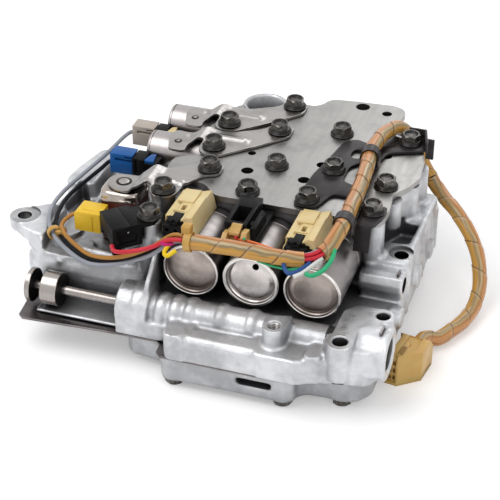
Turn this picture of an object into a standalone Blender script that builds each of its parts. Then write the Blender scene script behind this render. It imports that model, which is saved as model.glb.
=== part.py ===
"""Valve body of an automatic transmission: castings, solenoids, manual valve and wiring."""

from math import atan2, cos, pi, radians, sin, tan

import bmesh
import bpy
from mathutils import Matrix, Vector
from mathutils.geometry import interpolate_bezier

MM = 0.001
WELD = 0.00001
SEAT = 0.3
RUNNING = 0.3
BOSS_SIDES = 14
BORE_SIDES = 12
CAN_SIDES = 20

# Extents of the castings, in millimetres in the drawing frame (X right, Y back, Z up).
LEFT_TIP = -146.0
RIGHT_END = 95.7
FRONT_FACE = -130.5
REAR_FACE = 88.0

# Levels, from the undersides of the bottom bolts up to the cover plate.
FOOT_HEIGHT = 5.0
LOWER_HEIGHT = 15.0
SEPARATOR_THICKNESS = 1.4
BASE_HEIGHT = 16.0
WING_HEIGHT = 24.0
FRONT_DECK_HEIGHT = 22.0
STEP_HEIGHT = 33.0
RIDGE_HEIGHT = 35.0
DECK_HEIGHT = 56.0
BOSS_HEIGHT = 28.0
NEAR_BLOCK_HEIGHT = 18.0
PLATE_THICKNESS = 3.7
BRACKET_THICKNESS = 1.6

LOWER_TOP = FOOT_HEIGHT + LOWER_HEIGHT
SEPARATOR_BOTTOM = LOWER_TOP + SEAT
SEPARATOR_TOP = SEPARATOR_BOTTOM + SEPARATOR_THICKNESS
CASTING_BOTTOM = SEPARATOR_TOP + SEAT
BASE_TOP = CASTING_BOTTOM + BASE_HEIGHT
WING_TOP = CASTING_BOTTOM + WING_HEIGHT
FRONT_DECK_TOP = CASTING_BOTTOM + FRONT_DECK_HEIGHT
STEP_TOP = CASTING_BOTTOM + STEP_HEIGHT
RIDGE_TOP = CASTING_BOTTOM + RIDGE_HEIGHT
DECK_TOP = CASTING_BOTTOM + DECK_HEIGHT
BOSS_TOP = CASTING_BOTTOM + BOSS_HEIGHT
NEAR_BLOCK_TOP = CASTING_BOTTOM + NEAR_BLOCK_HEIGHT
PLATE_BOTTOM = DECK_TOP + SEAT
PLATE_TOP = PLATE_BOTTOM + PLATE_THICKNESS
BRACKET_BOTTOM = PLATE_TOP + SEAT
BRACKET_TOP = BRACKET_BOTTOM + BRACKET_THICKNESS

# Flange bolts.
BOLT_SHANK_RADIUS = 3.0
BOLT_HOLE_RADIUS = BOLT_SHANK_RADIUS + RUNNING
BOLT_REACH = 14.0
BOLT_HOLE_SPARE = 2.0
BOLT_FLANGE_RADIUS = 7.1
BOLT_FLANGE_THICKNESS = 1.8
BOLT_HEAD_ACROSS_FLATS = 10.0
BOLT_HEAD_RADIUS = BOLT_HEAD_ACROSS_FLATS / (2 * cos(pi / 6))
BOLT_HEAD_HEIGHT = 4.2

# Linear solenoids: three equal cans side by side, axes along Y.
CAN_RADIUS = 16.5
CAN_SPACING = 2.25
CAN_PITCH = 2 * CAN_RADIUS + CAN_SPACING
CAN_LENGTH = 44.7
CAN_NOSE_RADIUS = 7.5
CAN_NOSE_LENGTH = 18.0
CAN_LIP = 1.5
CAN_DISH = 1.8
MIDDLE_CAN_X = 12.7
CAN_WEB_THICKNESS = 3.0
DECK_FRONT = -49.0
CAN_REAR = DECK_FRONT - SEAT
CAN_FRONT = CAN_REAR - CAN_LENGTH
CAN_UNDERSIDE_GAP = 3.5
CAN_RELIEF = 0.6
CAN_Z = BASE_TOP + CAN_UNDERSIDE_GAP + CAN_RADIUS
CAN_TOP = CAN_Z + CAN_RADIUS
CAN_CENTRES = [MIDDLE_CAN_X + place * CAN_PITCH for place in (-1, 0, 1)]
CAN_WEB_RIGHT = CAN_CENTRES[0] - CAN_RADIUS - CAN_SPACING - CAN_RELIEF

# Connector housings on the cans, and their plugs.
HOUSING_WIDTH = 20.5
HOUSING_LENGTH = 33.5
HOUSING_HEIGHT = 11.5
HOUSING_SHIFT = -9.5
HOUSING_WALL = 1.8
HOUSING_REAR_GAP = 2.0
PLUG_DEPTH = 13.0
PLUG_PROUD = 5.0

# Shift solenoids S1 and S2: cans along X, with their noses in the deck.
COIL_RADIUS = 11.3
COIL_LENGTH = 38.0
COIL_NOSE_RADIUS = 4.5
COIL_NOSE_LENGTH = 18.0
DECK_LEFT = -47.0
COIL_RIGHT = DECK_LEFT - SEAT
COIL_Z = BRACKET_BOTTOM - SEAT - COIL_RADIUS
COIL_CENTRES = {"one": 44.5, "two": 8.6}
SOCKET_LENGTH = 15.5
SOCKET_WIDTH = 11.8
SOCKET_HEIGHT = 13.0
SOCKET_PROUD = 4.0
SOCKET_DROP = 2.6
COIL_PLUG_LENGTH = 14.5
COIL_PLUG_TRIM = 0.8
COIL_PLUG_LEFT = COIL_RIGHT - COIL_LENGTH - SOCKET_PROUD - SEAT - COIL_PLUG_LENGTH

# Shift solenoid S3, which stands on the left wing.
THIRD_COIL_CENTRE = (-79.0, -51.0)
THIRD_COIL_SIZE = (26.0, 25.0)
THIRD_CAP_HEIGHT = 9.0
THIRD_PLUG_SIZE = (16.0, 13.0, 12.5)
THIRD_PLUG_TOP = 72.0

# Manual valve and its bore along the front.
MANUAL_AXIS_Y = -103.5
MANUAL_AXIS_Z = CASTING_BOTTOM + 13.0
MANUAL_DISC_RADIUS = 10.0
MANUAL_LAND_RADIUS = 6.0
MANUAL_BORE_RADIUS = MANUAL_LAND_RADIUS + RUNNING
MANUAL_HOUSING_RADIUS = MANUAL_BORE_RADIUS + 3.3
MANUAL_HOUSING_LEFT = -60.7
MANUAL_FLANGE_RADIUS = 13.5
MANUAL_FLANGE_LENGTH = 19.7
MANUAL_LEFT_END = -117.5
MANUAL_ROD_RADIUS = 2.75
MANUAL_TRAVEL = 34.0
SELECTOR_DISC = 3.0
SELECTOR_GROOVE = 6.5
OUTER_LAND = 10.0
OUTER_ROD = 41.0
INNER_LANDS = [(12.0, 12.0), (14.0, 12.0), (15.0, 0.0)]
INNER_GROOVE_RADIUS = 3.5
MANUAL_END_CLEARANCE = 1.5
COLLAR_RADIUS = MANUAL_HOUSING_RADIUS + 1.2
COLLAR_WIDTH = 4.0
COLLAR_LEFTS = (-37.0, -28.5, -20.0, -2.0, 16.0)

MANUAL_LENGTH = SELECTOR_DISC + SELECTOR_GROOVE + OUTER_LAND + OUTER_ROD
MANUAL_LENGTH += sum(land + groove for land, groove in INNER_LANDS)
MANUAL_BORE_END = MANUAL_LEFT_END + MANUAL_LENGTH + MANUAL_TRAVEL + MANUAL_END_CLEARANCE

# Regulator valve, in a bore that opens on the right.
REGULATOR_RADIUS = 7.0
REGULATOR_BORE_RADIUS = REGULATOR_RADIUS + RUNNING
REGULATOR_BARREL_RADIUS = 14.6
REGULATOR_BARREL_LEFT = 66.0
REGULATOR_COUNTERBORE_RADIUS = 9.5
REGULATOR_COUNTERBORE_DEPTH = 3.5
REGULATOR_WALL = 4.0
REGULATOR_BORE_LEFT = MANUAL_BORE_END + REGULATOR_WALL
REGULATOR_PLUG_LENGTH = 5.5
REGULATOR_KEY_INSET = 4.6
REGULATOR_SPRING_ROOM = 14.3
KEY_THICKNESS = 1.2
KEY_PROUD = 1.5
REGULATOR_PLUG_LEFT = RIGHT_END - REGULATOR_KEY_INSET - KEY_THICKNESS - SEAT - REGULATOR_PLUG_LENGTH
REGULATOR_SPOOL_RIGHT = REGULATOR_PLUG_LEFT - REGULATOR_SPRING_ROOM
REGULATOR_SPOOL_LENGTH = REGULATOR_SPOOL_RIGHT - REGULATOR_BORE_LEFT - SEAT

# Shift valve, in a small barrel in front of the right step.
SHIFT_AXIS_Y = -54.6
SHIFT_AXIS_Z = CASTING_BOTTOM + 25.4
SHIFT_RADIUS = 4.4
SHIFT_BORE_RADIUS = SHIFT_RADIUS + RUNNING
SHIFT_BARREL_RADIUS = 6.8
SHIFT_BARREL_RIGHT = 91.0
SHIFT_SPOOL_LENGTH = 8.0
SHIFT_PLUG_LENGTH = 3.2
SHIFT_KEY_INSET = 3.0

# Left lug, with its mounting hole.
LUG_RADIUS = 9.0
LUG_CENTRE = (LEFT_TIP + LUG_RADIUS, -67.0)
LUG_HOLE_RADIUS = 4.25
LUG_THICKNESS = 7.0
LUG_TOP = CASTING_BOTTOM + 34.0
LUG_BOTTOM = LUG_TOP - LUG_THICKNESS

# Ring bore at the rear left of the deck.
RING_CENTRE = (-30.0, 65.0)
RING_RADIUS = 14.0
RING_BORE_RADIUS = 11.5
RING_BORE_DEPTH = 44.0

# Bolts through the cover plate: what lies under each head, and where it stands.
BRACKET_BOLTS = {
    "bolt_01": (-42.1, 30.1),
    "bolt_02": (-41.6, 0.1),
    "bolt_03": (-35.1, -25.3),
    "bolt_04": (-9.6, 30.2),
    "bolt_07": (-52.2, -56.5),
    "bolt_09": (-10.2, 63.6),
    "bolt_12": (34.4, -4.5),
    "bolt_13": (29.1, -40.4),
    "bolt_14": (69.5, 41.8),
    "bolt_16": (67.5, -41.6),
}
PLATE_BOLTS = {
    "bolt_05": (0.4, -7.3),
    "bolt_06": (-6.6, -40.5),
    "bolt_11": (26.6, 42.3),
    "bolt_15": (67.2, -9.6),
}
SENSOR_BOLT = (-50.7, -81.3)
FOOT_BOLTS = [
    (-23.6, -119.0), (39.8, -118.2), (71.0, -107.6), (-98.0, -45.0),
    (-96.0, 6.0), (-38.0, 70.0), (46.0, 74.0), (76.0, -18.0),
]

# Oil temperature sensor, beside its bolt and turned from the X axis.
SENSOR_TURN = 42.0
SENSOR_DEPTH = 10.0
SENSOR_PROUD = 3.0
SENSOR_HALF_WIDTH = 11.0
SENSOR_BODY = (-8.2, 9.0)
SENSOR_TAB = (4.0, 23.0)
SENSOR_TAB_TRIM = 2.0
SENSOR_BOLT_PLACE = (16.2, -4.9)

# Plain holes in the cover plate: place and radius.
PLATE_HOLES = [
    ((-14.5, -17.8), 3.7), ((-18.4, 2.6), 2.5), ((20.2, -17.7), 3.65), ((25.3, 2.3), 3.3),
    ((29.6, 80.2), 4.5), ((46.2, 76.0), 3.15), ((59.3, 24.2), 3.0), ((45.7, -18.6), 3.0),
]

# Bosses on the front right: place, radius, hole radius.
THREADED_BOSS = ((33.9, -116.9), 6.5, 3.4)
RIGHT_BOSSES = [((71.5, -119.4), 7.5, 4.15), ((87.6, -90.1), 6.25, 3.65)]
BOSS_HOLE_DEPTH = 20.0
STEP_HOLE = ((84.5, -36.5), 4.25)

# Wiring.
HARNESS_RADIUS = 4.7
CLIP_GAP = 0.6
CLIP_THICKNESS = 1.3
CLIP_WIDTH = 7.0
HARNESS_LIFT = HARNESS_RADIUS + CLIP_GAP + CLIP_THICKNESS / 2
CLIP_Z = BRACKET_TOP + HARNESS_LIFT
FRONT_CLIP = (57.5, -62.0)
REAR_CLIP = (52.0, 13.0)
LEAD_RADIUS = 1.25
TAIL_CONNECTOR_SIZE = (18.0, 28.0, 20.0)
TAIL_CONNECTOR_WALL = 2.0
TAIL_CONNECTOR_BACK = 6.0
TAIL_CONNECTOR_CENTRE = (100.0, -72.0)
TAIL_CONNECTOR_TURN = 8.0

# Slot in the front of the lower casting.
FRONT_SLOT_LEFT = 15.0
FRONT_SLOT_RIGHT = 35.0
FRONT_SLOT_REAR = -119.0
FRONT_SLOT_BOTTOM = FOOT_HEIGHT + 6.5
FRONT_SLOT_TOP = FOOT_HEIGHT + 11.0

# Folded tabs of the dark brackets.
TAB_REAR = 51.0
TAB_HEIGHT = 6.0
TAB_LEFT = 66.5
TAB_RIGHT = 83.0
TAB_DROP = 13.0
LEG_FRONT = -57.0
LEG_LEFT = 62.2
LEG_RIGHT = 71.2
LEG_DROP = 13.0

# Outlines, as corners that the drawing functions round off.
BASE_OUTLINE = [
    (MANUAL_HOUSING_LEFT + 0.7, -111), (-27, -111), (-27, FRONT_FACE), (50, FRONT_FACE),
    (60, -125), (89, -119), (92, -106), (91, -86), (91, 34), (80, 52), (62, REAR_FACE),
    (-45, REAR_FACE), (-62, 72), (-64, 52), (-112, 34), (-126, 22), (-131, -10),
    (-133, -50), (-131, -80), (-122, -87), (MANUAL_HOUSING_LEFT + 0.7, -87),
]
WING_OUTLINE = [
    (-50, -86), (-118, -86), (-130, -78), (-131, -50), (-129, -10), (-124, 18), (-108, 30),
    (-66, 46), (-50, 46),
]
DECK_OUTLINE = [
    (DECK_LEFT + 1, DECK_FRONT), (66, DECK_FRONT), (66, -27), (74, -14), (82, 4),
    (80.5, 26), (76.5, 40), (73, 47.8), (62, 47.6), (54.5, 51), (53, 60), (54, 70), (55.5, 79),
    (50, 85), (10, 84), (4, 76), (-12, 76),
    (-30, 80), (-44, 74), (DECK_LEFT, 56), (DECK_LEFT, -38),
]
RIDGE_OUTLINE = [(-131, -25), (-112, -25), (-112, 22), (-124, 20), (-130, -8)]
STEP_OUTLINE = [(62, -47.5), (90.7, -47.5), (90.7, 33), (70, 33), (62, 20)]
FRONT_DECK_OUTLINE = [(62, -123), (88.5, -118), (91.4, -105), (90.5, -82), (70, -84), (62, -88)]
BOSS_PLATE_OUTLINE = [
    (65.8, -119), (66.3, -92), (72, -85), (88, -84.5), (93, -90), (88.5, -97.5), (77.5, -104),
    (78.4, -113), (78.5, -119),
]
THREADED_FLAT_OUTLINE = [(28, -117), (27.3, -109.8), (41.5, -105.8), (39.8, -117)]
NEAR_BLOCK_OUTLINE = [(53, -127.5), (53.3, -113.5), (61.5, -112.5), (63.5, -119.5), (61.9, -125.5)]
RAIL_OUTLINE = [(-112, -112), (-56, -112), (-56, -84), (-112, -84)]
LUG_OUTLINE = [
    (-117, -86), (LUG_CENTRE[0] + 4, -80), (LUG_CENTRE[0] - 2, LUG_CENTRE[1] - LUG_RADIUS + 0.5),
    (LUG_CENTRE[0] - 2, LUG_CENTRE[1] + LUG_RADIUS - 0.5), (-128, -50), (-117, -50),
]
CAN_WEB_OUTLINE = [(-76, 74), (-92, 67), (-107, 54), (-112, 44), (-80, 44)]
LUG_ROOT_OUTLINE = [(-117, -86), (-129.5, -80), (-131, -54), (-128, -50), (-117, -50)]
LOWER_OUTLINE = [
    (-56, -110), (-32, -113), (-30.5, -126.5), (46, -126), (50, -115.5), (80, -114), (87, -104),
    (86.5, 30), (56, 83), (-42, 83), (-66, 60), (-106, 26), (-116, -20), (-112, -78), (-62, -83),
]
SEPARATOR_OUTLINE = [
    (-120, -119), (-60, -115.5), (-33, -115), (-32, -128), (47.5, -127.5), (51.5, -117),
    (81, -115.5), (88.3, -105), (88, 31), (57, 84.5), (-43, 84.5), (-67, 61.5), (-108, 28),
    (-118, -20), (-116, -82), (-122, -101),
]
PLATE_OUTLINE = [
    (-60.5, -30), (-61, -16), (-51, -11), (-46.6, -9), (-46.6, 19.5), (-53, 20.5), (-53, 32),
    (-46.6, 33), (-46.6, 57), (-30, 66), (-14, 73), (0.5, 71.4), (4.8, 76), (8, 84),
    (24, 86), (47, REAR_FACE - 0.3), (54, 86), (57.5, 80), (55.7, 70), (54.6, 60), (56.5, 51.5),
    (61, 49), (72.5, 49.2), (77.6, 41), (81.8, 26),
    (83.8, 6), (80, -6), (73.5, -17), (75.5, -34), (75, -46), (68, -50), (-23.5, -50),
    (-33, -40), (-45, -38), (-57, -34),
]
FLAT_BRACKET_OUTLINE = [
    (-73, 28), (-61, 27), (-58.5, 31.5), (-51, 22), (-37, 21), (-18, 39.5), (-2.5, 57),
    (-3, 69), (-15, 71), (-20, 61), (-36, 51.5), (-54, 50), (-72, 45),
]
SECOND_BRACKET_SHIFT = (0.5, -31.0)
THIRD_BRACKET_OUTLINE = [
    (-84, -60), (-71, -61), (-64, -50.5), (-60, -62), (-52, -65), (-44.5, -60), (-43.5, -48),
    (-36, -34), (-27, -29), (-28, -20), (-37, -16.5), (-47, -25), (-62, -33), (-70, -41),
    (-85, -42), (-89, -51),
]
HARNESS_BRACKET_OUTLINE = [
    (22, -47), (36, -47), (41, -30), (54, -30), (54, -68), (61, -68), (61, -22), (42, -14),
    (42, 3), (48, 10), (56, 10), (60, 26), (77, 33), (79.3, 36), (79.3, TAB_REAR), (66, TAB_REAR),
    (58, 33), (44, 33), (38, 36), (31, 31), (27, 4), (24, -12),
]
SIDE_BRACKET_OUTLINE = [
    (61.8, -47), (62.3, -34.5), (74.5, -34.5), (75, -46), (71.6, LEG_FRONT), (61.8, LEG_FRONT),
]

ORIGIN = ((LEFT_TIP + RIGHT_END) / 2, (FRONT_FACE + REAR_FACE) / 2)

FINISHES = {
    "casting": ((0.72, 0.73, 0.75), 0.35, 1.0),
    "steel": ((0.62, 0.61, 0.6), 0.3, 1.0),
    "sheet": ((0.66, 0.66, 0.65), 0.4, 1.0),
    "dark_bolt": ((0.09, 0.085, 0.085), 0.4, 0.8),
    "dark_sheet": ((0.1, 0.09, 0.1), 0.45, 0.7),
    "black_nylon": ((0.02, 0.02, 0.022), 0.5, 0.0),
    "cream_nylon": ((0.78, 0.68, 0.42), 0.4, 0.0),
    "tan_nylon": ((0.72, 0.5, 0.2), 0.4, 0.0),
    "beige_nylon": ((0.55, 0.49, 0.42), 0.45, 0.0),
    "blue_nylon": ((0.03, 0.16, 0.5), 0.4, 0.0),
    "yellow_nylon": ((0.95, 0.68, 0.1), 0.4, 0.0),
    "brown_nylon": ((0.2, 0.05, 0.03), 0.4, 0.0),
    "amber_wrap": ((0.72, 0.42, 0.14), 0.35, 0.0),
    "grey_lead": ((0.35, 0.37, 0.42), 0.4, 0.0),
    "black_lead": ((0.03, 0.03, 0.035), 0.4, 0.0),
    "orange_lead": ((0.6, 0.3, 0.08), 0.4, 0.0),
    "red_lead": ((0.75, 0.03, 0.05), 0.4, 0.0),
}


def clear_scene():
    for leftover in list(bpy.data.objects):
        bpy.data.objects.remove(leftover)


def new_collection(name):
    collection = bpy.data.collections.new(name)
    bpy.context.scene.collection.children.link(collection)
    return collection


def make_finish(name):
    colour, roughness, metallic = FINISHES[name]
    material = bpy.data.materials.new(name)
    material.use_nodes = True
    shader = material.node_tree.nodes["Principled BSDF"]
    shader.inputs["Base Color"].default_value = (*colour, 1.0)
    shader.inputs["Roughness"].default_value = roughness
    shader.inputs["Metallic"].default_value = metallic
    return material


def link_solid(name, mesh):
    """A new object in the cutters' collection, standing in the drawing frame."""
    solid = bpy.data.objects.new(name, mesh)
    solid.parent = frame
    solid.hide_render = True
    solid.display_type = "WIRE"
    cutters.objects.link(solid)
    return solid


def keep(solid, finish):
    """Make a finished solid one of the parts."""
    cutters.objects.unlink(solid)
    parts.objects.link(solid)
    solid.hide_render = False
    solid.display_type = "TEXTURED"
    solid.data.materials.clear()
    solid.data.materials.append(finishes[finish])
    return solid


def metres(point):
    return Vector(point) * MM


def filleted(corners, radius, steps):
    """An outline with each corner rounded, as far as its shorter side allows."""
    points = []
    for index, corner in enumerate(corners):
        corner = Vector(corner)
        back = Vector(corners[index - 1]) - corner
        ahead = Vector(corners[(index + 1) % len(corners)]) - corner
        half = back.angle(ahead) / 2
        setback = min(radius / tan(half), 0.45 * back.length, 0.45 * ahead.length)
        fillet = setback * tan(half)
        start = corner + back.normalized() * setback
        end = corner + ahead.normalized() * setback
        middle = corner + (back.normalized() + ahead.normalized()).normalized() * fillet / sin(half)
        first = atan2(start.y - middle.y, start.x - middle.x)
        turn = atan2(end.y - middle.y, end.x - middle.x) - first
        turn = (turn + pi) % (2 * pi) - pi
        for step in range(steps + 1):
            angle = first + turn * step / steps
            points.append((middle.x + fillet * cos(angle), middle.y + fillet * sin(angle)))
    return points


def circle(centre, radius, sides=BORE_SIDES):
    angles = [2 * pi * side / sides for side in range(sides)]
    return [(centre[0] + radius * cos(a), centre[1] + radius * sin(a)) for a in angles]


def mesh_of(curve_object):
    """The closed mesh of a curve object, with its caps welded on."""
    bpy.context.view_layer.update()
    graph = bpy.context.evaluated_depsgraph_get()
    mesh = bpy.data.meshes.new_from_object(curve_object.evaluated_get(graph))
    form = bmesh.new()
    form.from_mesh(mesh)
    bmesh.ops.remove_doubles(form, verts=form.verts, dist=WELD)
    bmesh.ops.recalc_face_normals(form, faces=form.faces)
    form.to_mesh(mesh)
    form.free()
    return mesh


def solid_from_curve(name, curve, height=0.0):
    guide = bpy.data.objects.new(name + "_curve", curve)
    cutters.objects.link(guide)
    mesh = mesh_of(guide)
    bpy.data.objects.remove(guide)
    solid = link_solid(name, mesh)
    solid.location.z = height
    return solid


def slab(name, outline, low, high, holes=()):
    """A flat piece: an outline, with any holes, extruded from one level to another."""
    curve = bpy.data.curves.new(name, "CURVE")
    curve.dimensions = "2D"
    curve.fill_mode = "BOTH"
    curve.extrude = (high - low) / 2 * MM
    for loop in [outline, *holes]:
        spline = curve.splines.new("POLY")
        spline.points.add(len(loop) - 1)
        for point, place in zip(spline.points, loop):
            point.co = (place[0] * MM, place[1] * MM, 0, 1)
        spline.use_cyclic_u = True
    return solid_from_curve(name, curve, (low + high) / 2 * MM)


def slab_along_x(name, outline, left, right):
    """A flat piece that stands across the X axis, its outline given as (y, z)."""
    form = bmesh.new()
    face = form.faces.new([form.verts.new(metres((left, y, z))) for y, z in outline])
    grown = bmesh.ops.extrude_face_region(form, geom=[face])["geom"]
    moving = [item for item in grown if isinstance(item, bmesh.types.BMVert)]
    bmesh.ops.translate(form, verts=moving, vec=metres((right - left, 0, 0)))
    bmesh.ops.recalc_face_normals(form, faces=form.faces)
    mesh = bpy.data.meshes.new(name)
    form.to_mesh(mesh)
    form.free()
    return link_solid(name, mesh)


def block(name, low, high):
    form = bmesh.new()
    size = metres(high) - metres(low)
    place = Matrix.Translation((metres(low) + metres(high)) / 2) @ Matrix.Diagonal((*size, 1))
    bmesh.ops.create_cube(form, size=1, matrix=place)
    mesh = bpy.data.meshes.new(name)
    form.to_mesh(mesh)
    form.free()
    return link_solid(name, mesh)


def rods(name, spans, radius, sides=BOSS_SIDES, turn=0.0):
    """One or more separate round or many-sided bars, each from one point to another."""
    form = bmesh.new()
    for start, end in spans:
        start, end = metres(start), metres(end)
        facing = (end - start).to_track_quat("Z", "Y").to_matrix().to_4x4()
        place = Matrix.Translation((start + end) / 2) @ facing @ Matrix.Rotation(turn, 4, "Z")
        bmesh.ops.create_cone(
            form, cap_ends=True, segments=sides, radius1=radius * MM, radius2=radius * MM,
            depth=(end - start).length, matrix=place,
        )
    mesh = bpy.data.meshes.new(name)
    form.to_mesh(mesh)
    form.free()
    return link_solid(name, mesh)


def uprights(name, centres, radius, low, high, sides=BOSS_SIDES):
    spans = [((x, y, low), (x, y, high)) for x, y in centres]
    return rods(name, spans, radius, sides)


def turned(name, profile, base, turn, sides=BOSS_SIDES):
    """A turned piece: (radius, height) pairs from the bottom up, spun about its own axis."""
    mesh = bpy.data.meshes.new(name)
    places = [(radius * MM, 0, height * MM) for radius, height in reversed(profile)]
    mesh.from_pydata(places, [(step, step + 1) for step in range(len(places) - 1)], [])
    solid = link_solid(name, mesh)
    screw = solid.modifiers.new("turn", "SCREW")
    screw.steps = sides
    screw.render_steps = sides
    screw.use_merge_vertices = True
    screw.merge_threshold = WELD
    solid.location = metres(base)
    solid.rotation_euler = turn
    return solid


ALONG_X = (0.0, radians(90), 0.0)
TO_THE_FRONT = (radians(90), 0.0, 0.0)


def tube(name, points, radius, resolution=2):
    """A round wire through chosen points, given in millimetres."""
    curve = bpy.data.curves.new(name, "CURVE")
    curve.dimensions = "3D"
    curve.bevel_depth = radius * MM
    curve.bevel_resolution = resolution
    curve.use_fill_caps = True
    spline = curve.splines.new("POLY")
    spline.points.add(len(points) - 1)
    for point, place in zip(spline.points, points):
        point.co = (*metres(place), 1)
    return solid_from_curve(name, curve)


def smooth_path(route, per_span):
    """Points on one smooth curve through a route's own points."""
    route = [Vector(place) for place in route]
    pulls = []
    for index in range(len(route)):
        before = route[max(index - 1, 0)]
        after = route[min(index + 1, len(route) - 1)]
        pulls.append((after - before) / 6)
    path = [route[0]]
    for index in range(len(route) - 1):
        start, end = route[index], route[index + 1]
        handles = (start + pulls[index], end - pulls[index + 1])
        path += interpolate_bezier(start, *handles, end, per_span + 1)[1:]
    return path


def combine(solid, other, operation):
    modifier = solid.modifiers.new(operation.lower() + "_" + other.name, "BOOLEAN")
    modifier.operation = operation
    modifier.object = other
    modifier.solver = "EXACT"


def join(solid, *others):
    for other in others:
        combine(solid, other, "UNION")


def cut(solid, *others):
    for other in others:
        combine(solid, other, "DIFFERENCE")


def moved(outline, shift):
    return [(x + shift[0], y + shift[1]) for x, y in outline]


def deck_bolt_places():
    places = [*BRACKET_BOLTS.values(), *PLATE_BOLTS.values()]
    return [place for place in places if place != BRACKET_BOLTS["bolt_07"]]


def make_main_body():
    body = slab("main_body", filleted(BASE_OUTLINE, 5, 1), CASTING_BOTTOM, BASE_TOP)
    join(
        body,
        slab("wing", filleted(WING_OUTLINE, 5, 1), CASTING_BOTTOM + 1, WING_TOP),
        slab("deck", filleted(DECK_OUTLINE, 4, 1), CASTING_BOTTOM + 2, DECK_TOP),
        slab("ridge", filleted(RIDGE_OUTLINE, 4, 1), CASTING_BOTTOM + 1, RIDGE_TOP),
        slab("step", filleted(STEP_OUTLINE, 3, 1), CASTING_BOTTOM + 3, STEP_TOP),
        slab("front_deck", filleted(FRONT_DECK_OUTLINE, 4, 1), CASTING_BOTTOM + 1, FRONT_DECK_TOP),
        slab("boss_plate", filleted(BOSS_PLATE_OUTLINE, 2, 1), FRONT_DECK_TOP - 9, BOSS_TOP),
        slab("threaded_flat", THREADED_FLAT_OUTLINE, BASE_TOP - 2, BOSS_TOP),
        slab("near_block", filleted(NEAR_BLOCK_OUTLINE, 2, 1), CASTING_BOTTOM + 1, NEAR_BLOCK_TOP),
        slab_along_x("can_web", CAN_WEB_OUTLINE, CAN_WEB_RIGHT - CAN_WEB_THICKNESS, CAN_WEB_RIGHT),
        slab("lug", filleted(LUG_OUTLINE, LUG_RADIUS * 0.5, 2), LUG_BOTTOM, LUG_TOP - 1),
        uprights("lug_end", [LUG_CENTRE], LUG_RADIUS, LUG_BOTTOM - 0.5, LUG_TOP, 20),
        slab("lug_root", LUG_ROOT_OUTLINE, WING_TOP - 2, LUG_TOP - 1.6),
        slab("rail", RAIL_OUTLINE, CASTING_BOTTOM, CASTING_BOTTOM + 2),
    )
    add_front_barrels(body)
    add_bosses(body)
    cut_bores(body)
    return keep(body, "casting")


def add_front_barrels(body):
    axis = (MANUAL_AXIS_Y, MANUAL_AXIS_Z)
    housing = (MANUAL_HOUSING_LEFT + 1, *axis), (REGULATOR_BARREL_LEFT + 1, *axis)
    flange = (MANUAL_HOUSING_LEFT, *axis), (MANUAL_HOUSING_LEFT + MANUAL_FLANGE_LENGTH, *axis)
    collars = [((left, *axis), (left + COLLAR_WIDTH, *axis)) for left in COLLAR_LEFTS]
    barrel = (REGULATOR_BARREL_LEFT, *axis), (RIGHT_END, *axis)
    shift_axis = (SHIFT_AXIS_Y, SHIFT_AXIS_Z)
    shift_left = shift_bore_left() - 2
    join(
        body,
        rods("manual_housing", [housing], MANUAL_HOUSING_RADIUS, 18),
        rods("manual_flange", [flange], MANUAL_FLANGE_RADIUS, 20),
        rods("collars", collars, COLLAR_RADIUS, 16),
        rods("regulator_barrel", [barrel], REGULATOR_BARREL_RADIUS, 20),
        rods("shift_barrel", [((shift_left, *shift_axis), (SHIFT_BARREL_RIGHT, *shift_axis))],
             SHIFT_BARREL_RADIUS, 14),
        block("shift_web", (shift_left + 1, SHIFT_AXIS_Y - 4, BASE_TOP - 2),
              (SHIFT_BARREL_RIGHT - 1, DECK_FRONT + 4, SHIFT_AXIS_Z)),
    )


def add_bosses(body):
    threaded, threaded_radius, _ = THREADED_BOSS
    join(
        body,
        uprights("post_seven", [BRACKET_BOLTS["bolt_07"]], 7, CASTING_BOTTOM + 4, PLATE_TOP),
        uprights("post_eight", [SENSOR_BOLT], 6.5, CASTING_BOTTOM + 4, DECK_TOP),
        uprights("ring", [RING_CENTRE], RING_RADIUS, CASTING_BOTTOM + 4, PLATE_TOP, 20),
        uprights("threaded_boss", [threaded], threaded_radius, CASTING_BOTTOM + 4, BOSS_TOP),
    )
    for index, (place, radius, _) in enumerate(RIGHT_BOSSES):
        join(body, uprights(f"right_boss_{index}", [place], radius, CASTING_BOTTOM + 4, BOSS_TOP))


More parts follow.
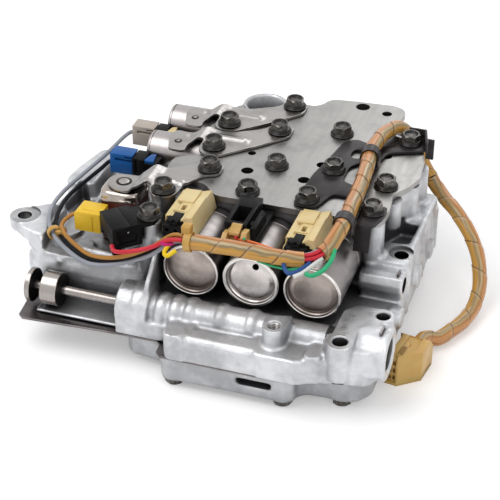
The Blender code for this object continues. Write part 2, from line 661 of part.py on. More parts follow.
def cut_bores(body):
    axis = (MANUAL_AXIS_Y, MANUAL_AXIS_Z)
    shift_axis = (SHIFT_AXIS_Y, SHIFT_AXIS_Z)
    low = DECK_TOP - BOLT_REACH - BOLT_HOLE_SPARE
    cut(
        body,
        block("underside", (LEFT_TIP - 9, FRONT_FACE - 9, 0), (RIGHT_END + 9, REAR_FACE + 9, CASTING_BOTTOM)),
        uprights("deck_bolt_holes", deck_bolt_places(), BOLT_HOLE_RADIUS, low, DECK_TOP + 9, 8),
        uprights("post_bolt_holes", [BRACKET_BOLTS["bolt_07"], SENSOR_BOLT], BOLT_HOLE_RADIUS,
                 low, DECK_TOP + 9, 8),
        rods("manual_bore", [((MANUAL_HOUSING_LEFT - 5, *axis), (MANUAL_BORE_END, *axis))],
             MANUAL_BORE_RADIUS, 18),
        rods("regulator_bore", [((REGULATOR_BORE_LEFT, *axis), (RIGHT_END + 5, *axis))],
             REGULATOR_BORE_RADIUS, 18),
        rods("counterbore", [((RIGHT_END - REGULATOR_COUNTERBORE_DEPTH, *axis), (RIGHT_END + 5, *axis))],
             REGULATOR_COUNTERBORE_RADIUS, 20),
        rods("shift_bore", [((shift_bore_left(), *shift_axis), (SHIFT_BARREL_RIGHT + 5, *shift_axis))],
             SHIFT_BORE_RADIUS, 12),
        key_cutter("regulator", REGULATOR_BORE_RADIUS, REGULATOR_BARREL_RADIUS),
        key_cutter("shift", SHIFT_BORE_RADIUS, SHIFT_BARREL_RADIUS),
        rods("can_bores", [((x, DECK_FRONT - 5, CAN_Z), (x, nose_end() + SEAT, CAN_Z))
                           for x in CAN_CENTRES], CAN_NOSE_RADIUS + RUNNING, 14),
        rods("can_saddles", [((x, CAN_FRONT - CAN_RELIEF, CAN_Z), (x, DECK_FRONT, CAN_Z))
                             for x in CAN_CENTRES], CAN_RADIUS + CAN_RELIEF, 24),
        rods("coil_bores", [((DECK_LEFT - 5, y, COIL_Z), (DECK_LEFT + COIL_NOSE_LENGTH, y, COIL_Z))
                            for y in COIL_CENTRES.values()], COIL_NOSE_RADIUS + RUNNING, 14),
        uprights("ring_bore", [RING_CENTRE], RING_BORE_RADIUS, PLATE_TOP - RING_BORE_DEPTH,
                 PLATE_TOP + 5, 20),
        uprights("lug_hole", [LUG_CENTRE], LUG_HOLE_RADIUS, LUG_BOTTOM - 30, LUG_TOP + 5),
        uprights("step_hole", [STEP_HOLE[0]], STEP_HOLE[1], CASTING_BOTTOM - 5, STEP_TOP + 5),
    )
    for index, (place, _, hole) in enumerate([THREADED_BOSS, *RIGHT_BOSSES]):
        low = BOSS_TOP - BOSS_HOLE_DEPTH
        cut(body, uprights(f"boss_hole_{index}", [place], hole, low, BOSS_TOP + 5, 12))


def nose_end():
    return CAN_REAR + CAN_NOSE_LENGTH


def shift_bore_left():
    return CAN_CENTRES[2] + CAN_RADIUS + 3.0


# Each closed valve bore: axis height and side, key place, bore radius and barrel radius.
def key_place(valve):
    if valve == "regulator":
        return RIGHT_END - REGULATOR_KEY_INSET, MANUAL_AXIS_Y, MANUAL_AXIS_Z
    return SHIFT_BARREL_RIGHT - SHIFT_KEY_INSET, SHIFT_AXIS_Y, SHIFT_AXIS_Z


def key_cutter(valve, bore_radius, barrel_radius):
    x, y, z = key_place(valve)
    half = bore_radius * 0.55 + SEAT
    return block(
        f"{valve}_key_slot", (x - KEY_THICKNESS - SEAT, y - half, z - bore_radius * 0.8 - SEAT),
        (x + SEAT, y + half, z + barrel_radius + 5),
    )


def make_key(valve, bore_radius, barrel_radius):
    x, y, z = key_place(valve)
    half = bore_radius * 0.55
    key = block(
        f"{valve}_key", (x - KEY_THICKNESS, y - half, z - bore_radius * 0.8),
        (x, y + half, z + barrel_radius + KEY_PROUD),
    )
    keep(key, "sheet")


def spool_profile(radius, length):
    land = length * 0.3
    return [
        (0, 0), (radius, 0), (radius, land), (radius * 0.5, land),
        (radius * 0.5, length - land), (radius, length - land), (radius, length), (0, length),
    ]


def make_spring(name, left, right, radius, wire, axis, turns):
    steps = turns * 10
    length = right - left - 2 * wire
    points = []
    for step in range(steps + 1):
        angle = 2 * pi * turns * step / steps
        x = left + wire + length * step / steps
        points.append((x, axis[0] + radius * cos(angle), axis[1] + radius * sin(angle)))
    keep(tube(name, points, wire, 1), "steel")


def make_closed_valve(valve, radius, bore_left, spool_length, plug_length, barrel_radius, turns):
    """Spool, spring, end plug and retaining key, from the blind end outwards."""
    key_x, y, z = key_place(valve)
    plug_left = key_x - KEY_THICKNESS - SEAT - plug_length
    spool_left = bore_left + SEAT
    spool = turned(f"{valve}_valve", spool_profile(radius, spool_length), (spool_left, y, z), ALONG_X)
    keep(spool, "steel")
    spring_left = spool_left + spool_length + SEAT
    wire = radius * 0.11
    make_spring(f"{valve}_spring", spring_left, plug_left - SEAT, radius * 0.72, wire, (y, z), turns)
    plug_profile = [(0, 0), (radius, 0), (radius, plug_length), (0, plug_length)]
    keep(turned(f"{valve}_plug", plug_profile, (plug_left, y, z), ALONG_X), "casting")
    make_key(valve, radius + RUNNING, barrel_radius)


def make_manual_valve():
    disc, rod = MANUAL_DISC_RADIUS, MANUAL_ROD_RADIUS
    sections = [(disc, SELECTOR_DISC), (rod, SELECTOR_GROOVE), (disc, OUTER_LAND), (rod, OUTER_ROD)]
    for land_length, groove_length in INNER_LANDS:
        sections.append((MANUAL_LAND_RADIUS, land_length))
        sections.append((INNER_GROOVE_RADIUS, groove_length))
    profile = [(0, 0)]
    along = 0.0
    for radius, length in sections:
        if length:
            profile += [(radius, along), (radius, along + length)]
            along += length
    profile.append((0, along))
    base = (MANUAL_LEFT_END, MANUAL_AXIS_Y, MANUAL_AXIS_Z)
    keep(turned("manual_valve", profile, base, ALONG_X, 18), "steel")


def make_lower_body():
    body = slab("lower_body", filleted(LOWER_OUTLINE, 5, 1), FOOT_HEIGHT, LOWER_TOP)
    flange_low = FOOT_HEIGHT - BOLT_FLANGE_THICKNESS
    join(
        body,
        uprights("foot_flanges", FOOT_BOLTS, BOLT_FLANGE_RADIUS, flange_low, FOOT_HEIGHT + 1, 12),
        uprights("foot_heads", FOOT_BOLTS, BOLT_HEAD_RADIUS, 0, FOOT_HEIGHT + 0.5, 6),
    )
    slot = block("front_slot", (FRONT_SLOT_LEFT, FRONT_FACE - 9, FRONT_SLOT_BOTTOM),
                 (FRONT_SLOT_RIGHT, FRONT_SLOT_REAR, FRONT_SLOT_TOP))
    cut(body, slot)
    keep(body, "casting")


def make_separator():
    holes = [circle(place, BOLT_HOLE_RADIUS, 8) for place in FOOT_BOLTS]
    sheet = slab(
        "separator_plate", filleted(SEPARATOR_OUTLINE, 3, 1), SEPARATOR_BOTTOM, SEPARATOR_TOP, holes
    )
    keep(sheet, "sheet")


def make_cover_plate():
    bolt_holes = [circle(place, BOLT_HOLE_RADIUS, 8) for place in deck_bolt_places()]
    plain_holes = [circle(place, radius, 14) for place, radius in PLATE_HOLES]
    plate = slab(
        "cover_plate", filleted(PLATE_OUTLINE, 7, 2), PLATE_BOTTOM, PLATE_TOP,
        bolt_holes + plain_holes,
    )
    cut(plate, uprights("ring_relief", [RING_CENTRE], RING_RADIUS + SEAT, DECK_TOP, PLATE_TOP + 5, 20))
    keep(plate, "sheet")


def make_can(name, x):
    lip = CAN_RADIUS - CAN_LIP
    length = CAN_LENGTH
    profile = [
        (0, -CAN_NOSE_LENGTH), (CAN_NOSE_RADIUS, -CAN_NOSE_LENGTH), (CAN_NOSE_RADIUS, 0),
        (CAN_RADIUS - 1, 0), (CAN_RADIUS, 1), (CAN_RADIUS, length - 0.8),
        (CAN_RADIUS - 0.8, length), (lip, length), (lip - 0.8, length - CAN_DISH),
        (lip * 0.75, length - CAN_DISH + 0.8), (0, length - CAN_DISH + 1),
    ]
    keep(turned(name, profile, (x, CAN_REAR, CAN_Z), TO_THE_FRONT, CAN_SIDES), "steel")


def make_can_connector(name, x, housing_finish, plug_finish):
    left = x + HOUSING_SHIFT - HOUSING_WIDTH / 2
    right = left + HOUSING_WIDTH
    bottom = CAN_TOP + SEAT
    top = bottom + HOUSING_HEIGHT
    rear = DECK_FRONT - HOUSING_REAR_GAP
    front = rear - HOUSING_LENGTH
    housing = block(f"{name}_housing", (left, front, bottom), (right, rear, top))
    wall = HOUSING_WALL
    pocket = block(
        f"{name}_pocket", (left + wall, front - 5, bottom + wall),
        (right - wall, front + PLUG_DEPTH, top - wall),
    )
    latch = block(
        f"{name}_latch", ((left + right) / 2 - 5, front + 4, top - wall - 1),
        ((left + right) / 2 - 1, front + 9, top + 5),
    )
    cut(housing, pocket, latch)
    keep(housing, housing_finish)
    trim = wall + SEAT
    plug = block(
        f"{name}_plug", (left + trim, front - PLUG_PROUD, bottom + trim),
        (right - trim, front + PLUG_DEPTH - SEAT, top - trim),
    )
    keep(plug, plug_finish)


def make_shift_solenoid(name, y, plug_finish):
    left = COIL_RIGHT - COIL_LENGTH
    profile = [
        (0, 0), (COIL_RADIUS - 1, 0), (COIL_RADIUS, 1), (COIL_RADIUS, COIL_LENGTH),
        (COIL_NOSE_RADIUS, COIL_LENGTH), (COIL_NOSE_RADIUS, COIL_LENGTH + COIL_NOSE_LENGTH),
        (0, COIL_LENGTH + COIL_NOSE_LENGTH),
    ]
    keep(turned(f"shift_solenoid_{name}", profile, (left, y, COIL_Z), ALONG_X, 18), "steel")
    socket_rear = y - COIL_RADIUS - SEAT
    socket_left = left - SOCKET_PROUD
    socket_top = COIL_Z + SOCKET_HEIGHT / 2 - SOCKET_DROP
    socket = block(
        f"solenoid_socket_{name}", (socket_left, socket_rear - SOCKET_WIDTH, socket_top - SOCKET_HEIGHT),
        (socket_left + SOCKET_LENGTH, socket_rear, socket_top),
    )
    keep(socket, "black_nylon")
    trim = COIL_PLUG_TRIM
    plug = block(
        f"solenoid_plug_{name}",
        (socket_left - SEAT - COIL_PLUG_LENGTH, socket_rear - SOCKET_WIDTH + trim,
         socket_top - SOCKET_HEIGHT + trim),
        (socket_left - SEAT, socket_rear - trim, socket_top + trim),
    )
    keep(plug, plug_finish)


def make_third_solenoid():
    x, y = THIRD_COIL_CENTRE
    half_x, half_y = THIRD_COIL_SIZE[0] / 2, THIRD_COIL_SIZE[1] / 2
    bottom, top = WING_TOP + SEAT, BRACKET_BOTTOM - SEAT
    corners = [(x - half_x, y - half_y), (x + half_x, y - half_y),
               (x + half_x, y + half_y), (x - half_x, y + half_y)]
    inner = [(px * 0.92 + x * 0.08, py * 0.92 + y * 0.08) for px, py in corners]
    body = slab("shift_solenoid_three", filleted(inner, 4, 2), bottom, top - THIRD_CAP_HEIGHT + 1)
    join(body, slab("third_cap", filleted(corners, 6, 3), top - THIRD_CAP_HEIGHT, top))
    keep(body, "brown_nylon")
    size = THIRD_PLUG_SIZE
    front = y - half_y - SEAT
    left = x - half_x - 8
    plug = block(
        "solenoid_plug_three", (left, front - size[1], THIRD_PLUG_TOP - size[2]),
        (left + size[0], front, THIRD_PLUG_TOP),
    )
    keep(plug, "yellow_nylon")


def make_sensor():
    turn = radians(SENSOR_TURN)
    ahead = Vector((cos(turn), sin(turn)))
    aside = Vector((-sin(turn), cos(turn)))
    middle = Vector(SENSOR_BOLT) - ahead * SENSOR_BOLT_PLACE[0] - aside * SENSOR_BOLT_PLACE[1]
    bottom, top = DECK_TOP - SENSOR_DEPTH, DECK_TOP + SEAT + SENSOR_PROUD
    half = SENSOR_HALF_WIDTH

    def corners(left, right, near, far):
        local = [(left, near), (right, near), (right, far), (left, far)]
        return [tuple(middle + ahead * along + aside * across) for along, across in local]

    outline = filleted(corners(*SENSOR_BODY, -half, half), 1.5, 2)
    body = slab("oil_temperature_sensor", outline, bottom, top)
    hole = circle(SENSOR_BOLT, BOLT_HOLE_RADIUS, 16)
    tab = filleted(corners(*SENSOR_TAB, -half, half - SENSOR_TAB_TRIM), 5, 2)
    join(body, slab("sensor_tab", tab, DECK_TOP + SEAT, top - 0.2, [hole]))
    keep(body, "black_nylon")


def make_bolts():
    """One flange bolt, turned and given its hexagon, then a copy at each place."""
    shank_length = BOLT_REACH + PLATE_THICKNESS
    profile = [
        (0, -shank_length), (BOLT_SHANK_RADIUS, -shank_length), (BOLT_SHANK_RADIUS, 0),
        (BOLT_FLANGE_RADIUS, 0), (BOLT_HEAD_RADIUS, BOLT_FLANGE_THICKNESS),
        (0, BOLT_FLANGE_THICKNESS),
    ]
    pattern = turned("bolt_pattern", profile, (0, 0, 0), (0, 0, 0), 10)
    join(pattern, uprights("bolt_head", [(0, 0)], BOLT_HEAD_RADIUS - 0.1, 0.5,
                           BOLT_FLANGE_THICKNESS + BOLT_HEAD_HEIGHT, 6))
    bpy.context.view_layer.update()
    graph = bpy.context.evaluated_depsgraph_get()
    mesh = bpy.data.meshes.new_from_object(pattern.evaluated_get(graph))
    seats = {name: (*place, BRACKET_TOP + SEAT) for name, place in BRACKET_BOLTS.items()}
    seats |= {name: (*place, PLATE_TOP + SEAT) for name, place in PLATE_BOLTS.items()}
    seats["bolt_08"] = (*SENSOR_BOLT, DECK_TOP + 2 * SEAT + SENSOR_PROUD)
    for name, place in seats.items():
        bolt = link_solid(name, mesh)
        bolt.location = metres(place)
        bolt.rotation_euler.z = radians(37 * len(name) + place[0] * 3)
        keep(bolt, "dark_bolt")


def make_hold_down(name, outline, bolts, rib):
    holes = [circle(BRACKET_BOLTS[bolt], BOLT_HOLE_RADIUS, 10) for bolt in bolts]
    sheet = slab(name, filleted(outline, 5, 2), BRACKET_BOTTOM, BRACKET_TOP, holes)
    ridge = rods(name + "_rib", [rib], 2.4, 8)
    trim = block(name + "_rib_trim", (LEFT_TIP, FRONT_FACE, 0),
                 (RIGHT_END, REAR_FACE, BRACKET_BOTTOM + 0.4))
    cut(ridge, trim)
    join(sheet, ridge)
    keep(sheet, "sheet")


def make_hold_downs():
    level = BRACKET_TOP - 0.7
    rib = ((-64, 38, level), (-22, 47, level))
    shift = (*SECOND_BRACKET_SHIFT, 0)
    second_rib = tuple(tuple(a + b for a, b in zip(end, shift)) for end in rib)
    second = moved(FLAT_BRACKET_OUTLINE, SECOND_BRACKET_SHIFT)
    third_rib = ((-68, -47, level), (-45, -31, level))
    make_hold_down("hold_down_one", FLAT_BRACKET_OUTLINE, ("bolt_01", "bolt_09"), rib)
    make_hold_down("hold_down_two", second, ("bolt_02", "bolt_04"), second_rib)
    make_hold_down("hold_down_three", THIRD_BRACKET_OUTLINE, ("bolt_03", "bolt_07"), third_rib)


def make_harness_bracket():
    bolts = ("bolt_12", "bolt_13", "bolt_14")
    holes = [circle(BRACKET_BOLTS[bolt], BOLT_HOLE_RADIUS, 10) for bolt in bolts]
    sheet = slab(
        "harness_bracket", filleted(HARNESS_BRACKET_OUTLINE, 4, 1), BRACKET_BOTTOM, BRACKET_TOP, holes
    )
    for label, (x, y) in (("front", FRONT_CLIP), ("rear", REAR_CLIP)):
        span = ((x, y - CLIP_WIDTH / 2, CLIP_Z), (x, y + CLIP_WIDTH / 2, CLIP_Z))
        inner = ((x, y - CLIP_WIDTH, CLIP_Z), (x, y + CLIP_WIDTH, CLIP_Z))
        inner_radius = HARNESS_RADIUS + CLIP_GAP
        join(sheet, rods(f"{label}_clip", [span], inner_radius + CLIP_THICKNESS, 14))
        cut(sheet, rods(f"{label}_clip_bore", [inner], inner_radius, 14))
    tab_front = TAB_REAR - BRACKET_THICKNESS
    upright = block("upright_tab", (TAB_LEFT, tab_front, BRACKET_BOTTOM + 0.4),
                    (TAB_RIGHT - 6, TAB_REAR - 0.1, BRACKET_TOP + TAB_HEIGHT))
    hanging = block("hanging_tab", (TAB_RIGHT - 6.8, tab_front + 0.2, BRACKET_BOTTOM - TAB_DROP),
                    (TAB_RIGHT, TAB_REAR - 0.2, BRACKET_TOP - 0.2))
    join(sheet, upright, hanging)
    keep(sheet, "dark_sheet")


def make_side_bracket():
    hole = circle(BRACKET_BOLTS["bolt_16"], BOLT_HOLE_RADIUS, 14)
    sheet = slab(
        "side_bracket", filleted(SIDE_BRACKET_OUTLINE, 2, 2), BRACKET_BOTTOM, BRACKET_TOP, [hole]
    )
    join(sheet, block("side_leg", (LEG_LEFT, LEG_FRONT + 0.2, BRACKET_BOTTOM - LEG_DROP),
                      (LEG_RIGHT, LEG_FRONT + 0.2 + BRACKET_THICKNESS, BRACKET_TOP - 0.2)))
    keep(sheet, "dark_sheet")


HARNESS_ROUTE = [
    (-21, -104, 84.5), (-6, -103.6, 85), (12, -103, 85), (30, -102, 84), (46, -98, 83),
    (54, -88, 84.5), (57.2, -75, CLIP_Z - 0.6), (*FRONT_CLIP, CLIP_Z), (57, -48, CLIP_Z),
    (56.3, -30, CLIP_Z), (54.5, -8, CLIP_Z), (*REAR_CLIP, CLIP_Z), (52.3, 26, CLIP_Z),
    (53.6, 37, CLIP_Z - 0.4), (56, 45.5, CLIP_Z - 1.2), (59.5, 51.5, 87.4), (63, 56.5, 83),
    (66.5, 60, 76), (70.5, 61.5, 67.5), (75.2, 60.1, 59.3), (78.1, 58.1, 56.4), (81, 56.1, 53.5),
]
TAIL_ROUTE = [
    (81.25, 55.93, 53.25), (83.5, 54.4, 51), (87.5, 50.8, 48.5), (94, 44, 46.3), (99.8, 38, 45),
    (105.5, 32.5, 42.4), (111.2, 27, 38.4), (116.2, 22, 33.4), (120.4, 16.5, 26.8), (123.4, 10, 19),
    (124.6, 2, 11.5), (123.6, -8, 7.2), (120.5, -21, 6), (111.4, -40.4, 5.8), (105.6, -46, 8),
    (103.05, -50.5, 9.7), (101.99, -57.84, 10),
]
LEAD_ROUTES = {
    "grey": [
        (COIL_PLUG_LEFT - 0.9, 26, COIL_Z - 1.7), (COIL_PLUG_LEFT - 2.9, 25, COIL_Z - 2),
        (COIL_PLUG_LEFT - 5.4, 19, 67.5), (-113, 2, 65), (-118, -16, 62.5),
        (-123.4, -39, 60), (-122.9, -59, 59.5), (-117, -75, 58), (-104.7, -88, 56), (-83, -101.5, 56),
        (-63.8, -104.5, 60.5), (-43, -104.5, 70.5), (-29, -105, 82.5), (-21.6, -104.4, 84.6),
    ],
    "black": [
        (COIL_PLUG_LEFT - 0.9, -9, COIL_Z - 3.7), (COIL_PLUG_LEFT - 2.9, -10, COIL_Z - 4.2),
        (COIL_PLUG_LEFT - 5.4, -14.5, 64.4), (-114, -24, 61.5), (-119.5, -40, 58.5),
        (-118.5, -57, 57.5), (-113.5, -72, 55.5), (-102, -85, 53), (-82, -97.5, 52.5),
        (-63, -102, 57.3), (-43, -102.5, 67.3), (-29, -102.6, 79.3), (-21.6, -102.2, 82),
    ],
    "orange": [
        (-100.4, -70, 66), (-104, -71, 65.5), (-108, -75, 62), (-106, -81, 60.5), (-97, -88, 58.5),
        (-80, -99, 59.5), (-60, -104.5, 66.2), (-42, -104.5, 76), (-29, -103.5, 86.3),
        (-21.6, -103.9, 87.2),
    ],
    "red": [
        (-65, -103.5, 72), (-61, -108.4, 72.2), (-52, -110, 75), (-40, -108.3, 79),
        (-30, -106.9, 85), (-21.6, -106.6, 86.6),
    ],
}


def make_wiring():
    keep(tube("harness", smooth_path(HARNESS_ROUTE, 2), HARNESS_RADIUS), "amber_wrap")
    keep(tube("harness_tail", smooth_path(TAIL_ROUTE, 2), HARNESS_RADIUS), "amber_wrap")
    for colour, route in LEAD_ROUTES.items():
        keep(tube(f"{colour}_lead", smooth_path(route, 2), LEAD_RADIUS), f"{colour}_lead")
    width, length, height = TAIL_CONNECTOR_SIZE
    connector = block(
        "tail_connector", (-width / 2, -length / 2, 0), (width / 2, length / 2, height)
    )
    wall = TAIL_CONNECTOR_WALL
    mouth = block(
        "tail_mouth", (-width / 2 + wall, -length / 2 - 5, wall),
        (width / 2 - wall, length / 2 - TAIL_CONNECTOR_BACK, height - wall),
    )
    for piece in (connector, mouth):
        piece.location = metres((*TAIL_CONNECTOR_CENTRE, 0))
        piece.rotation_euler.z = -radians(TAIL_CONNECTOR_TURN)
    cut(connector, mouth)
    keep(connector, "tan_nylon")


def main():
    make_lower_body()
    make_separator()
    make_main_body()
    make_cover_plate()
    for name, x in zip(("left", "middle", "right"), CAN_CENTRES):
        make_can(f"solenoid_can_{name}", x)
    make_can_connector("left", CAN_CENTRES[0], "cream_nylon", "black_nylon")
    make_can_connector("middle", CAN_CENTRES[1], "black_nylon", "tan_nylon")
    make_can_connector("right", CAN_CENTRES[2], "cream_nylon", "black_nylon")
    make_shift_solenoid("one", COIL_CENTRES["one"], "beige_nylon")
    make_shift_solenoid("two", COIL_CENTRES["two"], "blue_nylon")
    make_third_solenoid()
    make_sensor()
    make_hold_downs()
    make_harness_bracket()
    make_side_bracket()
    make_bolts()
    make_manual_valve()
    make_closed_valve(
        "regulator", REGULATOR_RADIUS, REGULATOR_BORE_LEFT, REGULATOR_SPOOL_LENGTH,
        REGULATOR_PLUG_LENGTH, REGULATOR_BARREL_RADIUS, 4,
    )
    make_closed_valve(
        "shift", SHIFT_RADIUS, shift_bore_left(), SHIFT_SPOOL_LENGTH, SHIFT_PLUG_LENGTH,
        SHIFT_BARREL_RADIUS, 3,
    )
    make_wiring()
    for piece in parts.objects:
        piece.data.shade_smooth()
        piece.data.set_sharp_from_angle(angle=radians(35))


clear_scene()
parts = new_collection("transmission_valve_body")
cutters = new_collection("cutters")
frame = bpy.data.objects.new("drawing_frame", None)
frame.location = (-ORIGIN[0] * MM, -ORIGIN[1] * MM, 0)
bpy.context.scene.collection.objects.link(frame)
finishes = {name: make_finish(name) for name in FINISHES}
main()
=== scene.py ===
"""Looks of a transmission valve body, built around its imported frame.

Shapes are drawn in millimetres in the drawing frame of the part: X right, Y back, Z up.
"""

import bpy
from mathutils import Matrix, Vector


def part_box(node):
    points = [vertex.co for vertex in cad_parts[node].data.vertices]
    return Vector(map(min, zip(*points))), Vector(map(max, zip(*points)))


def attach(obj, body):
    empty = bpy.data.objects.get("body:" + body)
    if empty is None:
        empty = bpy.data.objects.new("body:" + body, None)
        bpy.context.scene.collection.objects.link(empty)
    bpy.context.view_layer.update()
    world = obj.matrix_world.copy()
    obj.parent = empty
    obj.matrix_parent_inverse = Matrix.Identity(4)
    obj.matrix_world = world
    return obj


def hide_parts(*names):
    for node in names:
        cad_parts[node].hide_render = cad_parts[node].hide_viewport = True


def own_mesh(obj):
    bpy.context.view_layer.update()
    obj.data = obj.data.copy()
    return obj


bl_info = {
    "name": "Transmission valve body",
    "version": (1, 0, 0),
    "blender": (4, 5, 0),
    "location": "3D View > Sidebar > Valve body",
    "description": "Builds the castings, solenoids, fasteners and wiring of a valve body",
    "category": "Add Mesh",
}

from math import ceil, cos, pi, radians, sin, sqrt, tau

import bmesh
import bpy
from mathutils import Matrix, Vector

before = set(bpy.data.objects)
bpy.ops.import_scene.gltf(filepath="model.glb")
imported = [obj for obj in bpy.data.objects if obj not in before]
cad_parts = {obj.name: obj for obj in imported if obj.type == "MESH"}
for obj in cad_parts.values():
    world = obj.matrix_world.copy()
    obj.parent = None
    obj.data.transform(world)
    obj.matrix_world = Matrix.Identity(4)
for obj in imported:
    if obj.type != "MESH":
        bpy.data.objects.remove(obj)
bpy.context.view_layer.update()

MM = 0.001
LEFT_TIP = -146.0
FRONT_FACE = -130.5
FRAME_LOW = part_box("main_body")[0]
SHIFT = Vector((FRAME_LOW.x / MM - LEFT_TIP, FRAME_LOW.y / MM - FRONT_FACE, 0.0))
TO_WORLD = Matrix.Scale(MM, 4) @ Matrix.Translation(SHIFT)
TO_DRAWING = TO_WORLD.inverted()


# Reading the frame

def node_box(name):
    """Lowest and highest corner of a CAD node, in the drawing frame."""
    low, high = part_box(name)
    return TO_DRAWING @ low, TO_DRAWING @ high


def node_middle(name):
    low, high = node_box(name)
    return (low + high) / 2


def cad_mesh(name):
    """A welded copy of a CAD node's mesh, in the drawing frame."""
    form = bmesh.new()
    form.from_mesh(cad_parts[name].data)
    form.transform(TO_DRAWING)
    bmesh.ops.remove_doubles(form, verts=form.verts, dist=0.001)
    return mesh_from(form)


# Levels and axes that the frame gives

DECK_TOP = node_box("cover_plate")[0].z - 0.3
PLATE_TOP = node_box("cover_plate")[1].z
CASTING_BOTTOM = node_box("main_body")[0].z
FOOT_LEVEL = 5.0
BOSS_TOP = CASTING_BOTTOM + 28.0
STEP_TOP = CASTING_BOTTOM + 33.0
LUG_TOP = CASTING_BOTTOM + 34.0
SPOOL_Y = node_middle("manual_valve").y
SPOOL_Z = node_middle("manual_valve").z
SHIFT_Y = node_middle("shift_valve").y
SHIFT_Z = node_middle("shift_valve").z
BARREL_RIGHT = node_box("main_body")[1].x
SEAT = 0.3
DECK_FRONT = -49.0
DECK_LEFT = -47.0
FLANGE_LEFT = -60.7
RING_PLACE = (-30.0, 65.0)
POST_PLACE = (-52.2, -56.5)
LUG_PLACE = (-137.0, -67.0)
STEP_PLACE = (84.5, -36.5)
THREADED_PLACE = (33.9, -116.9)
RIGHT_PLACES = [((71.5, -119.4), 7.5, 4.15), ((87.6, -90.1), 6.25, 3.65)]
FACED_LEVELS = (DECK_TOP, PLATE_TOP, BOSS_TOP, LUG_TOP, STEP_TOP)


# Mesh helpers, all in drawing millimetres

def mesh_from(form, name="form"):
    """A mesh with what a bmesh holds, which is freed."""
    mesh = bpy.data.meshes.new(name)
    form.to_mesh(mesh)
    form.free()
    return mesh


def changed(mesh, *modifiers, others=()):
    """The mesh after a stack of modifiers, each given as its type and its settings."""
    holder = bpy.data.objects.new("holder", mesh)
    bpy.context.scene.collection.objects.link(holder)
    for kind, settings in modifiers:
        modifier = holder.modifiers.new(kind.lower(), kind)
        for key, value in settings.items():
            setattr(modifier, key, value)
    bpy.context.view_layer.update()
    graph = bpy.context.evaluated_depsgraph_get()
    result = bpy.data.meshes.new_from_object(holder.evaluated_get(graph))
    for leftover in (holder, *others):
        bpy.data.objects.remove(leftover)
    return result


def shaped(base, add=(), cut=(), solver="EXACT"):
    """The base with other meshes joined to it, and then others cut out of it."""
    modifiers, tools = [], []
    for operation, meshes in (("UNION", add), ("DIFFERENCE", cut)):
        for mesh in meshes:
            tool = bpy.data.objects.new("tool", mesh)
            bpy.context.scene.collection.objects.link(tool)
            tools.append(tool)
            settings = {"operation": operation, "solver": solver, "object": tool}
            modifiers.append(("BOOLEAN", settings))
    return changed(base, *modifiers, others=tools)


def softened(mesh, width, segments=2, angle=32):
    """The mesh with its sharp edges rounded by a small width."""
    settings = {"width": width, "segments": segments, "limit_method": "ANGLE",
                "angle_limit": radians(angle), "use_clamp_overlap": True}
    return changed(mesh, ("BEVEL", settings))


def cast(mesh, voxel, passes):
    """A mesh remade at one grain and smoothed, so that every corner gets a fillet."""
    return changed(mesh, ("REMESH", {"mode": "VOXEL", "voxel_size": voxel}),
                   ("SMOOTH", {"factor": 0.5, "iterations": passes}))


def joined(*meshes):
    """Separate closed shells in one mesh, their material numbers kept."""
    form = bmesh.new()
    for mesh in meshes:
        form.from_mesh(mesh)
    return mesh_from(form)


def moved(mesh, x=0.0, y=0.0, z=0.0, turn=0.0):
    """A copy of the mesh, turned about Z by degrees and then shifted."""
    copy = mesh.copy()
    copy.transform(Matrix.Translation((x, y, z)) @ Matrix.Rotation(radians(turn), 4, "Z"))
    return copy


def painted(mesh, index, test=None):
    """Give a material number to the faces whose middle and normal pass the test."""
    for face in mesh.polygons:
        if test is None or test(face.center, face.normal):
            face.material_index = index
    return mesh


AXES = {"X": Matrix(((0, 0, 1), (1, 0, 0), (0, 1, 0))).to_4x4(),
        "Y": Matrix(((0, 1, 0), (0, 0, 1), (1, 0, 0))).to_4x4(),
        "Z": Matrix.Identity(4)}


def prism(outline, low, high, axis="Z"):
    """An outline extruded along an axis; along X it is given as (y, z), along Y as (z, x)."""
    form = bmesh.new()
    corners = [form.verts.new((a, b, low)) for a, b in outline]
    face = form.faces.new(corners)
    grown = bmesh.ops.extrude_face_region(form, geom=[face])
    top = [item for item in grown["geom"] if isinstance(item, bmesh.types.BMVert)]
    bmesh.ops.translate(form, verts=top, vec=(0, 0, high - low))
    form.transform(AXES[axis])
    bmesh.ops.recalc_face_normals(form, faces=form.faces)
    return mesh_from(form)


def block(low, high):
    """A box between two corners."""
    form = bmesh.new()
    low, high = Vector(low), Vector(high)
    place = Matrix.Translation((low + high) / 2) @ Matrix.Diagonal((*(high - low), 1))
    bmesh.ops.create_cube(form, size=1, matrix=place)
    return mesh_from(form)


def facing(direction):
    """The turn that brings Z to a direction."""
    return Vector(direction).to_track_quat("Z", "Y").to_matrix().to_4x4()


def drum(start, end, radius, radius_end=None, sides=40):
    """A round bar, or a cone with a second radius, between two points."""
    form = bmesh.new()
    start, end = Vector(start), Vector(end)
    place = Matrix.Translation((start + end) / 2) @ facing(end - start)
    bmesh.ops.create_cone(
        form, cap_ends=True, segments=sides, radius1=radius,
        radius2=radius if radius_end is None else radius_end,
        depth=(end - start).length, matrix=place,
    )
    return mesh_from(form)


def upright(place, radius, low, high, sides=40):
    """A round bar along Z."""
    return drum((*place, low), (*place, high), radius, sides=sides)


def capsule(start, end, radius):
    """A bar with round ends, as shells that overlap until they are cast."""
    form = bmesh.new()
    for place in (start, end):
        ball = Matrix.Translation(place)
        bmesh.ops.create_uvsphere(form, u_segments=20, v_segments=12, radius=radius, matrix=ball)
    return joined(mesh_from(form), drum(start, end, radius, sides=20))


